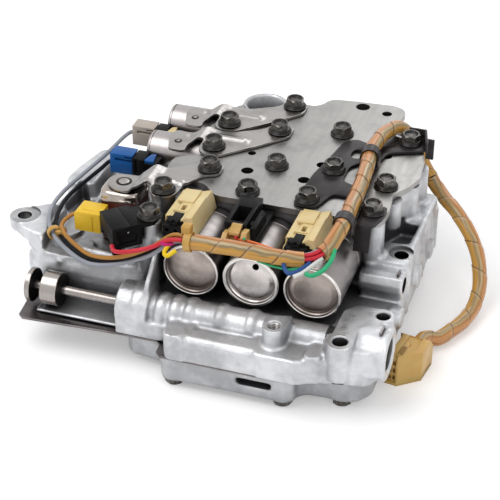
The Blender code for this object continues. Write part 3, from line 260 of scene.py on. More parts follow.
def lathe(profile, base, direction, sides=64):
    """(radius, height) pairs spun round an axis that starts at base."""
    form = bmesh.new()
    line = [form.verts.new((radius, 0, height)) for radius, height in profile]
    edges = [form.edges.new(pair) for pair in zip(line, line[1:])]
    bmesh.ops.spin(form, geom=[*line, *edges], axis=(0, 0, 1), cent=(0, 0, 0),
                   angle=tau, steps=sides, use_merge=True)
    bmesh.ops.remove_doubles(form, verts=form.verts, dist=0.0005)
    bmesh.ops.dissolve_degenerate(form, edges=form.edges, dist=0.0005)
    bmesh.ops.recalc_face_normals(form, faces=form.faces)
    form.transform(Matrix.Translation(base) @ facing(direction))
    return mesh_from(form)


def arc(centre, radius, first, last, steps):
    """Points on an arc, for profiles and outlines; angles in degrees."""
    angles = [radians(first + (last - first) * step / steps) for step in range(steps + 1)]
    return [(centre[0] + radius * cos(a), centre[1] + radius * sin(a)) for a in angles]


def superellipse(centre, half_x, half_y, power, steps):
    """An outline between an ellipse, at power 2, and a rectangle."""
    points = []
    for step in range(steps):
        a = tau * step / steps
        x = abs(cos(a)) ** (2 / power) * (1 if cos(a) > 0 else -1)
        y = abs(sin(a)) ** (2 / power) * (1 if sin(a) > 0 else -1)
        points.append((centre[0] + half_x * x, centre[1] + half_y * y))
    return points


def smooth_path(route, per_span):
    """Points on one smooth curve through a route's own points, as the part draws it."""
    route = [Vector(place) for place in route]
    path = [route[0]]
    for index in range(len(route) - 1):
        start, end = route[index], route[index + 1]
        leave = (end - route[max(index - 1, 0)]) / 2
        arrive = (route[min(index + 2, len(route) - 1)] - start) / 2
        if index == 0:
            leave = (end - start) / 2
        if index == len(route) - 2:
            arrive = (end - start) / 2
        for step in range(1, per_span + 1):
            t = step / per_span
            path.append(
                start * (2 * t ** 3 - 3 * t ** 2 + 1) + leave * (t ** 3 - 2 * t ** 2 + t)
                + end * (3 * t ** 2 - 2 * t ** 3) + arrive * (t ** 3 - t ** 2)
            )
    return path


def evenly(points, spacing):
    """The same line with points at one spacing."""
    total = sum((b - a).length for a, b in zip(points, points[1:]))
    count = max(2, round(total / spacing))
    result, index, run = [points[0].copy()], 0, 0.0
    for step in range(1, count):
        goal = total * step / count
        while run + (points[index + 1] - points[index]).length < goal:
            run += (points[index + 1] - points[index]).length
            index += 1
        span = points[index + 1] - points[index]
        result.append(points[index] + span * ((goal - run) / span.length))
    return result + [points[-1].copy()]


def frames_along(path):
    """A side vector and an up vector at each point, which turn as little as they can."""
    tangents = []
    for index in range(len(path)):
        ahead = path[min(index + 1, len(path) - 1)]
        behind = path[max(index - 1, 0)]
        tangents.append((ahead - behind).normalized())
    up = Vector((0, 0, 1))
    result = []
    for tangent in tangents:
        up = (up - tangent * up.dot(tangent)).normalized()
        result.append((tangent.cross(up), up))
    return result


def sweep(path, radius, sides=16):
    """A tube along a path; radius may depend on the length run and the turn. It has UVs."""
    if not callable(radius):
        plain = radius
        radius = lambda run, turn: plain
    form = bmesh.new()
    layer = form.loops.layers.uv.new("wrap")
    rings, runs, run = [], [], 0.0
    for index, ((side, up), place) in enumerate(zip(frames_along(path), path)):
        if index:
            run += (place - path[index - 1]).length
        ring = []
        for step in range(sides):
            turn = step / sides
            reach = radius(run, turn)
            offset = side * cos(tau * turn) + up * sin(tau * turn)
            ring.append(form.verts.new(place + offset * reach))
        rings.append(ring)
        runs.append(run)
    for index in range(len(rings) - 1):
        for step in range(sides):
            after = (step + 1) % sides
            corners = [(index, step), (index + 1, step), (index + 1, after), (index, after)]
            face = form.faces.new([rings[a][b] for a, b in corners])
            face.smooth = True
            turns = [step / sides, step / sides, (step + 1) / sides, (step + 1) / sides]
            for loop, (a, _), turn in zip(face.loops, corners, turns):
                loop[layer].uv = (turn, runs[a] / 10)
    form.faces.new(list(reversed(rings[0])))
    form.faces.new(rings[-1])
    bmesh.ops.recalc_face_normals(form, faces=form.faces)
    return mesh_from(form)


# Putting pieces in the scene

finishes = {}


def piece(name, mesh, materials, body="housing", stands_for=(), angle=35):
    """Put a finished mesh in the scene as a piece that rides on a body."""
    mesh.transform(TO_WORLD)
    mesh.name = name
    numbers = [face.material_index for face in mesh.polygons]
    mesh.materials.clear()
    for material in ([materials] if isinstance(materials, str) else materials):
        mesh.materials.append(finishes[material])
    mesh.polygons.foreach_set("material_index", numbers)
    mesh.shade_smooth()
    mesh.set_sharp_from_angle(angle=radians(angle))
    made = bpy.data.objects.new(name, mesh)
    bpy.context.scene.collection.objects.link(made)
    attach(made, body)
    if stands_for:
        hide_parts(*([stands_for] if isinstance(stands_for, str) else stands_for))
    return made


def dress(name, material, width=0.0):
    """Give a CAD node that is already right its finish and its small edge rounds."""
    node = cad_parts[name]
    node.data.materials.clear()
    node.data.materials.append(finishes[material])
    if width:
        weld = node.modifiers.new("weld", "WELD")
        weld.merge_threshold = 0.000005
        bevel = node.modifiers.new("edges", "BEVEL")
        bevel.width = width * MM
        bevel.segments = 2
        bevel.limit_method = "ANGLE"
        bevel.angle_limit = radians(40)
        bevel.harden_normals = True


# Shader helpers and shared effects

class Nodes:
    """Short calls for adding shader nodes and joining them."""

    def __init__(self, tree):
        self.tree = tree

    def add(self, kind, inputs=None, **settings):
        """A new node with its settings, and its inputs set or linked."""
        node = self.tree.nodes.new("ShaderNode" + kind)
        for key, value in settings.items():
            setattr(node, key, value)
        for key, value in (inputs or {}).items():
            self.put(node.inputs[key], value)
        return node

    def put(self, socket, value):
        if isinstance(value, bpy.types.NodeSocket):
            self.tree.links.new(value, socket)
        elif socket.type == "RGBA" and len(value) == 3:
            socket.default_value = (*value, 1.0)
        else:
            socket.default_value = value

    def math(self, operation, *values, clamp=False):
        inputs = dict(enumerate(values))
        return self.add("Math", inputs, operation=operation, use_clamp=clamp).outputs[0]

    def mix(self, factor, first, second, blend="MIX"):
        node = self.add("Mix", data_type="RGBA", blend_type=blend)
        for key, value in ((0, factor), (6, first), (7, second)):
            self.put(node.inputs[key], value)
        return node.outputs[2]

    def ramp(self, value, *stops, mode="LINEAR"):
        node = self.add("ValToRGB", {"Fac": value})
        node.color_ramp.interpolation = mode
        elements = node.color_ramp.elements
        for index, (place, colour) in enumerate(stops):
            element = elements[index] if index < 2 else elements.new(place)
            element.position = place
            element.color = (*colour, 1.0) if len(colour) == 3 else colour
        return node.outputs["Color"]

    def span(self, value, low, high, to_low=0.0, to_high=1.0):
        inputs = {"Value": value, "From Min": low, "From Max": high,
                  "To Min": to_low, "To Max": to_high}
        return self.add("MapRange", inputs).outputs["Result"]

    def noise(self, vector, scale, detail=3.0, roughness=0.55):
        inputs = {"Vector": vector, "Scale": scale, "Detail": detail, "Roughness": roughness}
        return self.add("TexNoise", inputs).outputs["Fac"]

    def place(self, stretch=(1, 1, 1)):
        own = self.add("TexCoord").outputs["Object"]
        return self.add("Mapping", {"Vector": own, "Scale": stretch}).outputs["Vector"]


def new_group(name, inputs, outputs):
    """A shader node group: inputs as name, kind and default; outputs as name and kind."""
    tree = bpy.data.node_groups.new(name, "ShaderNodeTree")
    for label, kind, default in inputs:
        socket = tree.interface.new_socket(label, in_out="INPUT", socket_type="NodeSocket" + kind)
        socket.default_value = (*default, 1.0) if kind == "Color" else default
    for label, kind in outputs:
        tree.interface.new_socket(label, in_out="OUTPUT", socket_type="NodeSocket" + kind)
    nodes = Nodes(tree)
    source = tree.nodes.new("NodeGroupInput")
    target = tree.nodes.new("NodeGroupOutput")
    return nodes, source.outputs, target.inputs


def make_cast_skin():
    """Die-cast aluminium: mottled, with painted shade in its corners and crevices, a painted
    highlight on its sharp edges, and grey machined level faces.
    """
    nodes, given, out = new_group(
        "cast_skin",
        [("Light", "Color", (0.62, 0.63, 0.65)), ("Dark", "Color", (0.16, 0.16, 0.17)),
         ("Machined", "Color", (0.28, 0.28, 0.29)), ("Grain", "Float", 900.0)],
        [("Color", "Color"), ("Roughness", "Float"), ("Height", "Float")],
    )
    place = nodes.place()
    broad = nodes.noise(place, 28.0, 3.0)
    blotch = nodes.noise(place, 120.0, 4.0, 0.6)
    fine = nodes.noise(place, given["Grain"], 2.0)
    mottle = nodes.math("ADD", nodes.math("MULTIPLY", broad, 0.6),
                        nodes.math("MULTIPLY", blotch, 0.4))
    cloud = nodes.span(mottle, 0.40, 0.60)
    shade = nodes.mix(nodes.math("MULTIPLY", cloud, 0.42), given["Light"], given["Dark"])
    # Ambient occlusion darkens the colour in corners, and to near black in crevices: painted shade;
    # the machined faces take it too.
    corner = nodes.add("AmbientOcclusion", {"Distance": 0.026}, samples=8).outputs["AO"]
    recess_shade = nodes.span(corner, 0.25, 0.97, 1.0, 0.0)
    shade = nodes.mix(nodes.math("MULTIPLY", recess_shade, 0.88), shade, given["Dark"])
    crevice_shade = nodes.span(corner, 0.08, 0.45, 1.0, 0.0)
    shade = nodes.mix(nodes.math("MULTIPLY", crevice_shade, 0.85), shade, (0.02, 0.02, 0.022))
    geometry = nodes.add("NewGeometry")
    upward = nodes.add("SeparateXYZ", {"Vector": geometry.outputs["True Normal"]}).outputs["Z"]
    level = nodes.span(upward, 0.9985, 0.9995)
    height = nodes.add("SeparateXYZ", {"Vector": place}).outputs["Z"]
    faced = 0.0
    for top in FACED_LEVELS:
        away = nodes.math("ABSOLUTE", nodes.math("SUBTRACT", height, top * MM))
        faced = nodes.math("MAXIMUM", faced, nodes.span(away, 0.0002, 0.0004, 1.0, 0.0))
    level = nodes.math("MULTIPLY", level, faced)
    lines = nodes.noise(nodes.place((60, 1400, 1)), 1.0, 2.0)
    milled = nodes.mix(nodes.span(lines, 0.3, 0.7), given["Machined"], (0.40, 0.40, 0.41))
    milled = nodes.mix(nodes.math("MULTIPLY", recess_shade, 0.9), milled, (0.06, 0.06, 0.065))
    shade = nodes.mix(nodes.math("MULTIPLY", level, 0.85), shade, milled)
    # Sharp edges are lightened towards near white: a painted highlight.
    edge = nodes.span(geometry.outputs["Pointiness"], 0.52, 0.60)
    shade = nodes.mix(nodes.math("MULTIPLY", edge, 0.55), shade, (0.95, 0.95, 0.96))
    rough = nodes.span(blotch, 0.3, 0.7, 0.34, 0.52)
    rough = nodes.math("SUBTRACT", rough, nodes.math("MULTIPLY", level, 0.12))
    nodes.put(out["Color"], shade)
    nodes.put(out["Roughness"], rough)
    grain = nodes.math("ADD", nodes.math("MULTIPLY", fine, 0.6), blotch)
    nodes.put(out["Height"], nodes.math("MULTIPLY", grain, nodes.span(level, 0.0, 1.0, 1.0, 0.1)))


def make_brushed():
    """Drawn or turned metal: fine lines along one way, with soft stains and painted shade in its
    corners.
    """
    nodes, given, out = new_group(
        "brushed",
        [("Color", "Color", (0.6, 0.6, 0.6)), ("Stain", "Color", (0.3, 0.3, 0.3)),
         ("Stretch", "Vector", (1.0, 1.0, 1.0)), ("Lines", "Float", 0.3),
         ("Stain Amount", "Float", 0.3), ("Smooth", "Float", 0.25), ("Corner Shade", "Float", 0.8)],
        [("Color", "Color"), ("Roughness", "Float"), ("Height", "Float")],
    )
    own = nodes.add("TexCoord").outputs["Object"]
    scaled = nodes.add("VectorMath", {0: own, 1: given["Stretch"]}, operation="MULTIPLY")
    lines = nodes.noise(scaled.outputs[0], 1.0, 3.0, 0.65)
    blots = nodes.noise(own, 60.0, 4.0, 0.6)
    marked = nodes.span(lines, 0.3, 0.7)
    amount = nodes.math("MULTIPLY", marked, given["Lines"])
    shade = nodes.mix(amount, given["Color"], given["Stain"])
    stain_and_shade_mask = nodes.math("MULTIPLY", nodes.span(blots, 0.48, 0.68), given["Stain Amount"])
    shade = nodes.mix(stain_and_shade_mask, shade, given["Stain"])
    # Ambient occlusion darkens the corners towards near black: painted shade.
    corner = nodes.add("AmbientOcclusion", {"Distance": 0.008}, samples=6).outputs["AO"]
    recess_shade = nodes.math("MULTIPLY", nodes.span(corner, 0.15, 0.85, 1.0, 0.0), given["Corner Shade"])
    shade = nodes.mix(recess_shade, shade, nodes.mix(0.8, given["Stain"], (0.01, 0.01, 0.01)))
    rough = nodes.math("ADD", given["Smooth"], nodes.math("MULTIPLY", marked, 0.12))
    rough = nodes.math("ADD", rough, nodes.math("MULTIPLY", stain_and_shade_mask, 0.15))
    nodes.put(out["Color"], shade)
    nodes.put(out["Roughness"], rough)
    nodes.put(out["Height"], lines)


def make_worn_edges():
    """Paint or oxide rubbed through to bright metal along its edges."""
    nodes, given, out = new_group(
        "worn_edges",
        [("Color", "Color", (0.08, 0.08, 0.08)), ("Bare", "Color", (0.5, 0.48, 0.46)),
         ("Start", "Float", 0.53), ("End", "Float", 0.62), ("Speckle", "Float", 0.2)],
        [("Color", "Color"), ("Worn", "Float")],
    )
    place = nodes.place()
    point = nodes.add("NewGeometry").outputs["Pointiness"]
    patch = nodes.noise(place, 500.0, 3.0, 0.6)
    edge = nodes.span(point, given["Start"], given["End"])
    worn = nodes.math("MULTIPLY", edge, nodes.span(patch, 0.25, 0.6), clamp=True)
    specks = nodes.math("MULTIPLY", nodes.span(nodes.noise(place, 1500.0), 0.62, 0.72),
                        given["Speckle"])
    worn = nodes.math("MAXIMUM", worn, specks)
    haze = nodes.mix(nodes.span(nodes.noise(place, 90.0), 0.40, 0.75), given["Color"],
                     nodes.mix(0.10, given["Color"], given["Bare"]))
    nodes.put(out["Color"], nodes.mix(worn, haze, given["Bare"]))
    nodes.put(out["Worn"], worn)


def make_moulded():
    """Moulded nylon: slight clouds of tone, painted shade in its corners, a faint grain."""
    nodes, given, out = new_group(
        "moulded",
        [("Color", "Color", (0.5, 0.5, 0.5)), ("Aged", "Color", (0.4, 0.4, 0.4)),
         ("Clouds", "Float", 70.0), ("Depth", "Float", 0.5)],
        [("Color", "Color"), ("Roughness", "Float"), ("Height", "Float")],
    )
    place = nodes.place()
    cloud = nodes.span(nodes.noise(place, given["Clouds"], 3.0), 0.35, 0.68)
    shade = nodes.mix(nodes.math("MULTIPLY", cloud, given["Depth"]), given["Color"], given["Aged"])
    # Ambient occlusion darkens the corners: painted shade.
    corner = nodes.add("AmbientOcclusion", {"Distance": 0.004}, samples=4).outputs["AO"]
    stain_and_shade_mask = nodes.span(corner, 0.2, 0.8, 0.6, 0.0)
    dark = nodes.mix(0.75, given["Aged"], (0.03, 0.02, 0.01))
    shade = nodes.mix(nodes.math("MULTIPLY", stain_and_shade_mask, 0.6), shade, dark)
    fine = nodes.noise(place, 1600.0, 2.0)
    nodes.put(out["Color"], shade)
    nodes.put(out["Roughness"], nodes.span(cloud, 0.0, 1.0, 0.30, 0.46))
    nodes.put(out["Height"], fine)


def make_spiral_wrap():
    """Amber film wound over coloured wires, seen by the turn and the length along it, with a
    painted highlight band and a painted glint on each turn.
    """
    nodes, given, out = new_group(
        "spiral_wrap",
        [("Film", "Color", (0.85, 0.48, 0.14)), ("Film Amount", "Float", 0.15),
         ("Pitch", "Float", 1.7), ("Phase", "Float", 0.0)],
        [("Color", "Color"), ("Roughness", "Float"), ("Height", "Float")],
    )
    chart = nodes.add("UVMap", uv_map="wrap").outputs["UV"]
    parts = nodes.add("SeparateXYZ", {"Vector": chart})
    turn, run = parts.outputs["X"], parts.outputs["Y"]
    wobble = nodes.noise(nodes.place(), 45.0, 2.0)
    drift = nodes.math("ADD", turn, given["Phase"])
    drift = nodes.math("ADD", drift, nodes.span(wobble, 0.3, 0.7, -0.045, 0.045))
    strand = nodes.math("FRACT", nodes.math("ADD", drift, 1.0))
    # Colours by the turn round the harness: the wire stripes, with a painted highlight in the light
    # grey-green band near the top front.
    wires = nodes.ramp(
        strand, (0.0, (0.82, 0.42, 0.06)), (0.06, (0.74, 0.36, 0.05)), (0.085, (0.30, 0.25, 0.13)),
        (0.12, (0.26, 0.22, 0.12)), (0.14, (0.58, 0.48, 0.28)), (0.175, (0.56, 0.40, 0.18)),
        (0.195, (0.46, 0.15, 0.04)), (0.24, (0.80, 0.34, 0.13)), (0.31, (0.78, 0.31, 0.09)),
        (0.335, (0.38, 0.12, 0.03)), (0.38, (0.74, 0.25, 0.08)), (0.44, (0.66, 0.30, 0.05)),
        (0.50, (0.42, 0.19, 0.02)), (0.62, (0.24, 0.11, 0.015)), (0.76, (0.36, 0.17, 0.02)),
        (0.90, (0.78, 0.39, 0.05)),
    )
    along = nodes.add("CombineXYZ", {"X": nodes.math("MULTIPLY", turn, 26.0),
                                     "Y": nodes.math("MULTIPLY", run, 0.35)}).outputs["Vector"]
    streak = nodes.span(nodes.noise(along, 1.0, 2.0), 0.35, 0.65, 0.45, 0.0)
    wires = nodes.mix(streak, wires, (0.16, 0.09, 0.04))
    shade = nodes.mix(given["Film Amount"], wires, given["Film"])
    winding = nodes.math("SUBTRACT", nodes.math("DIVIDE", run, given["Pitch"]), turn)
    phase = nodes.math("FRACT", nodes.math("ADD", winding, 1.0))
    distance = nodes.math("MINIMUM", phase, nodes.math("SUBTRACT", 1.0, phase))
    seam = nodes.span(distance, 0.012, 0.045, 1.0, 0.0)
    broken = nodes.span(nodes.noise(nodes.place(), 120.0), 0.35, 0.6, 0.45, 1.0)
    seam = nodes.math("MULTIPLY", seam, broken)
    # A painted highlight: a glint just after each seam of the wrap.
    painted_glint = nodes.math("MULTIPLY", nodes.span(phase, 0.05, 0.16, 0.30, 0.0),
                       nodes.span(wobble, 0.4, 0.6))
    shade = nodes.mix(painted_glint, shade, (0.86, 0.62, 0.40))
    shade = nodes.mix(nodes.math("MULTIPLY", seam, 0.85), shade, (0.10, 0.04, 0.012))
    nodes.put(out["Color"], shade)
    nodes.put(out["Roughness"], nodes.span(wobble, 0.3, 0.7, 0.14, 0.28))
    relief = nodes.math("SUBTRACT", nodes.math("MULTIPLY", wobble, 0.4), seam)
    nodes.put(out["Height"], nodes.math("SUBTRACT", relief, nodes.math("MULTIPLY", streak, 0.5)))


def new_material(name, group, values, bump=0.0, grain=0.0002, **shader_values):
    """A material whose shared effect feeds colour, roughness and relief."""
    material = finishes[name] = bpy.data.materials.new(name)
    material.use_nodes = True
    tree = material.node_tree
    nodes = Nodes(tree)
    shader = tree.nodes["Principled BSDF"]
    effect = nodes.add("Group")
    effect.node_tree = bpy.data.node_groups[group]
    for key, value in values.items():
        nodes.put(effect.inputs[key], value)
    nodes.put(shader.inputs["Base Color"], effect.outputs["Color"])
    for key, socket in (("Roughness", "Roughness"), ("Worn", "Metallic")):
        if key in effect.outputs:
            nodes.put(shader.inputs[socket], effect.outputs[key])
    for key, value in shader_values.items():
        nodes.put(shader.inputs[key.replace("_", " ")], value)
    if bump and "Height" in effect.outputs:
        relief = nodes.add("Bump", {"Height": effect.outputs["Height"], "Strength": bump,
                                    "Distance": grain})
        nodes.put(shader.inputs["Normal"], relief.outputs["Normal"])


# Colour, stain, stretch of the lines, their depth, the stains' depth and the smoothness
METALS = {
    "plate_steel": ((0.37, 0.365, 0.355), (0.22, 0.215, 0.21), (260, 26, 26), 0.28, 0.45, 0.28),
    "bracket_steel": ((0.42, 0.405, 0.395), (0.16, 0.145, 0.135), (40, 500, 500), 0.28, 0.40, 0.24),
    "separator_steel": ((0.22, 0.20, 0.20), (0.08, 0.07, 0.07), (30, 30, 30), 0.30, 0.55, 0.22),
    "coil_steel": ((0.46, 0.43, 0.425), (0.22, 0.20, 0.20), (300, 20, 20), 0.25, 0.25, 0.28),
    "can_steel": ((0.34, 0.315, 0.31), (0.13, 0.12, 0.115), (20, 260, 20), 0.10, 0.35, 0.27),
    "can_lip": ((0.78, 0.75, 0.72), (0.34, 0.31, 0.29), (200, 40, 200), 0.20, 0.25, 0.12),
    "can_face": ((0.46, 0.395, 0.36), (0.17, 0.135, 0.12), (90, 30, 90), 0.22, 0.60, 0.24),
    "middle_face": ((0.72, 0.68, 0.66), (0.34, 0.30, 0.28), (90, 30, 90), 0.20, 0.40, 0.18),
    "cap_steel": ((0.50, 0.45, 0.41), (0.15, 0.12, 0.10), (30, 200, 30), 0.38, 0.50, 0.13),
    "valve_steel": ((0.42, 0.39, 0.37), (0.15, 0.13, 0.12), (1500, 30, 30), 0.30, 0.35, 0.18),
    # The two near-black finishes below are painted shade, put inside bores, holes and gaps.
    "bore_steel": ((0.035, 0.033, 0.032), (0.012, 0.012, 0.012), (40, 40, 40), 0.30, 0.30, 0.40),
    "painted_hole_shade": ((0.10, 0.10, 0.10), (0.03, 0.03, 0.03), (60, 60, 60), 0.30, 0.40, 0.30),
    "thread_steel": ((0.50, 0.49, 0.48), (0.20, 0.19, 0.18), (40, 40, 40), 0.25, 0.30, 0.20),
}

# How much painted shade darkens the corners of a metal, where it isn't 0.85
CORNER_SHADE = {"can_face": 0.35, "middle_face": 0.25, "can_lip": 0.25}

# Colour, aged colour, size of the clouds, their depth, and light that goes through
PLASTICS = {
    "cream_nylon": ((0.90, 0.73, 0.40), (0.74, 0.54, 0.22), 60.0, 0.65, 0.15),
    "tan_nylon": ((0.72, 0.46, 0.17), (0.50, 0.28, 0.07), 90.0, 0.65, 0.15),
    "connector_nylon": ((0.80, 0.52, 0.17), (0.62, 0.36, 0.09), 60.0, 0.60, 0.20),
    "beige_nylon": ((0.54, 0.475, 0.41), (0.43, 0.37, 0.32), 80.0, 0.40, 0.0),
    "blue_nylon": ((0.004, 0.115, 0.40), (0.003, 0.065, 0.25), 80.0, 0.45, 0.0),
    "yellow_nylon": ((0.97, 0.63, 0.04), (0.90, 0.50, 0.02), 80.0, 0.40, 0.1),
    "brown_nylon": ((0.12, 0.025, 0.018), (0.05, 0.012, 0.010), 90.0, 0.50, 0.0),
    "black_nylon": ((0.006, 0.006, 0.0065), (0.011, 0.0105, 0.0105), 120.0, 0.50, 0.0),
    "grey_lead": ((0.36, 0.38, 0.43), (0.24, 0.26, 0.30), 60.0, 0.40, 0.0),
    "black_lead": ((0.008, 0.009, 0.012), (0.016, 0.016, 0.019), 60.0, 0.35, 0.0),
    "orange_lead": ((0.50, 0.23, 0.04), (0.36, 0.15, 0.03), 60.0, 0.35, 0.0),
    "vermilion_lead": ((0.85, 0.20, 0.05), (0.66, 0.12, 0.03), 60.0, 0.35, 0.0),
    "red_lead": ((0.72, 0.025, 0.05), (0.5, 0.015, 0.03), 60.0, 0.35, 0.0),
    "blue_lead": ((0.015, 0.08, 0.28), (0.01, 0.05, 0.2), 60.0, 0.35, 0.0),
    "white_lead": ((0.92, 0.92, 0.90), (0.66, 0.66, 0.63), 60.0, 0.35, 0.0),
    "green_lead": ((0.03, 0.50, 0.22), (0.02, 0.36, 0.15), 60.0, 0.35, 0.0),
    "golden_lead": ((0.98, 0.68, 0.01), (0.85, 0.52, 0.01), 60.0, 0.35, 0.0),
    "magenta_lead": ((0.66, 0.02, 0.22), (0.45, 0.01, 0.14), 60.0, 0.35, 0.0),
    "amber_tie": ((0.72, 0.44, 0.12), (0.50, 0.28, 0.06), 150.0, 0.60, 0.2),
}


def make_materials(settings):
    """Every finish, from the castings' colours in the settings and from the tables."""
    for build in (make_cast_skin, make_brushed, make_worn_edges, make_moulded, make_spiral_wrap):
        build()
    # The lower casting takes a slightly darker copy of the skin: painted shade.
    for name, tone in (("cast_aluminium", 1.0), ("lower_aluminium", 0.95)):
        values = {"Light": tuple(part * tone for part in settings.light),
                  "Dark": tuple(settings.dark)}
        new_material(name, "cast_skin", values, bump=0.6, grain=0.00035, Metallic=0.75)
    for name, (colour, stain, stretch, lines, amount, smooth) in METALS.items():
        values = {"Color": colour, "Stain": stain, "Stretch": stretch, "Lines": lines,
                  "Stain Amount": amount, "Smooth": smooth, "Corner Shade": CORNER_SHADE.get(name, 0.85)}
        new_material(name, "brushed", values, bump=0.04, grain=0.00005, Metallic=1.0)
    for name, (colour, aged, clouds, depth, through) in PLASTICS.items():
        values = {"Color": colour, "Aged": aged, "Clouds": clouds, "Depth": depth}
        new_material(
            name, "moulded", values, bump=0.12, grain=0.00006,
            Subsurface_Weight=through, Subsurface_Scale=0.002,
            Specular_IOR_Level=0.09 if sum(colour) < 0.1 else 0.35,
        )
    dark = {"Color": (0.011, 0.010, 0.0095), "Bare": (0.17, 0.16, 0.15), "Start": 0.80,
            "End": 1.0, "Speckle": 0.02}
    new_material("dark_bolt", "worn_edges", dark, Roughness=0.22, Specular_IOR_Level=0.20)
    sheet = {"Color": (0.022, 0.019, 0.020), "Bare": (0.26, 0.23, 0.24), "Start": 0.54,
             "End": 0.70, "Speckle": 0.08}
    new_material("dark_sheet", "worn_edges", sheet, Roughness=0.32, Specular_IOR_Level=0.20)
    for name, phase, amount in (("amber_wrap", 0.0, 0.12), ("tail_wrap", -0.04, 0.22)):
        values = {"Phase": phase, "Film Amount": amount}
        new_material(name, "spiral_wrap", values, bump=0.5, grain=0.0004,
                     Coat_Weight=0.35, Coat_Roughness=0.10, Specular_IOR_Level=0.3)


# Settings, each group with the piece that it shapes

def length(name, description, default):
    """A size or a strength that stays above zero."""
    return bpy.props.FloatProperty(name=name, description=description, default=default, min=0.01)


def colour(name, description, default):
    """A colour that the panel can pick."""
    return bpy.props.FloatVectorProperty(
        name=name, description=description, default=default, subtype="COLOR", size=3,
        min=0.0, max=1.0,
    )


class CastingSettings(bpy.types.PropertyGroup):
    """The skin and the colours of the castings."""

    voxel: length("Grain", "Voxel of the cast skin in millimetres", 0.95)
    passes: bpy.props.IntProperty(
        name="Fillets", description="Smoothing passes that round the cast corners", default=3)
    light: colour("Light", "Open faces of the casting", (0.74, 0.75, 0.77))
    # Dark colours the casting's stains and also its painted shade in corners.
    dark: colour("Dark", "Corners and stains of the casting", (0.13, 0.13, 0.14))


class BoltSettings(bpy.types.PropertyGroup):
    """The flange bolts."""

    flange_radius: length("Flange radius", "Washer face of the bolt in millimetres", 7.1)
    across_flats: length("Across flats", "Hexagon of the bolt in millimetres", 10.0)
    head_height: length("Head height", "From the seat to the top in millimetres", 6.0)
    dish_depth: length("Dish", "Depth of the dish in the head in millimetres", 0.8)


class SolenoidSettings(bpy.types.PropertyGroup):
    """The three cans at the front."""

    lip_width: length("Lip", "Rolled lip of a linear solenoid in millimetres", 1.5)
    wide_lip: length("Wide lip", "Lip of the middle solenoid in millimetres", 2.3)
    dish: length("Dish", "Depth of the front face in millimetres", 2.4)
    vent_radius: length("Vent", "Hole in the middle solenoid in millimetres", 1.9)


class HarnessSettings(bpy.types.PropertyGroup):
    """The harness and its leads."""

    radius: length("Radius", "Wrapped harness in millimetres", 4.7)
    pitch: length("Pitch", "Length of one turn of the wrap in millimetres", 17.0)
    lead_radius: length("Lead radius", "Single lead in millimetres", 1.25)


class StageSettings(bpy.types.PropertyGroup):
    """The floor and the light."""

    floor: colour("Floor", "Studio floor", (0.93, 0.93, 0.935))
    key: length("Key light", "Power of the key light in watts", 6.8)
    fill: length("Fill light", "Power of the fill light in watts", 1.6)
    sky: length("Sky", "Strength of the light from all round", 0.42)


SETTINGS = {
    "valve_body_castings": CastingSettings,
    "valve_body_bolts": BoltSettings,
    "valve_body_solenoids": SolenoidSettings,
    "valve_body_harness": HarnessSettings,
    "valve_body_stage": StageSettings,
}


# Castings

FLANGE_FOOT = [(-60.4, -116.5), (-41, -116.5), (-27, -116), (-27, -100), (-60.4, -100)]
EDGE_BOSSES = [((70.5, 41), 6.5), ((50, 79), 6.0), ((29, 79), 7.0), ((8, 77), 6.5),
               ((-12, 69), 6.5), ((78, 4), 6.0), ((72, -16), 6.5), ((67.5, -41.6), 7.5),
               ((79, 24), 6.0)]
REAR_BORES = [-32.0, -6.0, 20.0, 46.0]
SIDE_PLUGS = [((-66.0, 33.0), 6.2), ((-24.0, 34.0), 7.2), ((10.0, 32.0), 6.0)]
RAISE = 1.6
# Holes whose walls below a depth take painted shade
DEEP_HOLES = [(place, hole, BOSS_TOP - 1.4) for place, _, hole in RIGHT_PLACES]
DEEP_HOLES += [(STEP_PLACE, 4.25, STEP_TOP - 1.0), (LUG_PLACE, 4.25, LUG_TOP - 1.0),
               (RING_PLACE, 11.5, PLATE_TOP - 24.0)]


def raised(mesh, levels):
    """The mesh with its machined faces lifted, for a flat cut to take down after casting."""
    for vertex in mesh.vertices:
        if any(abs(vertex.co.z - level) < 0.01 for level in levels):
            vertex.co.z += RAISE
    return mesh


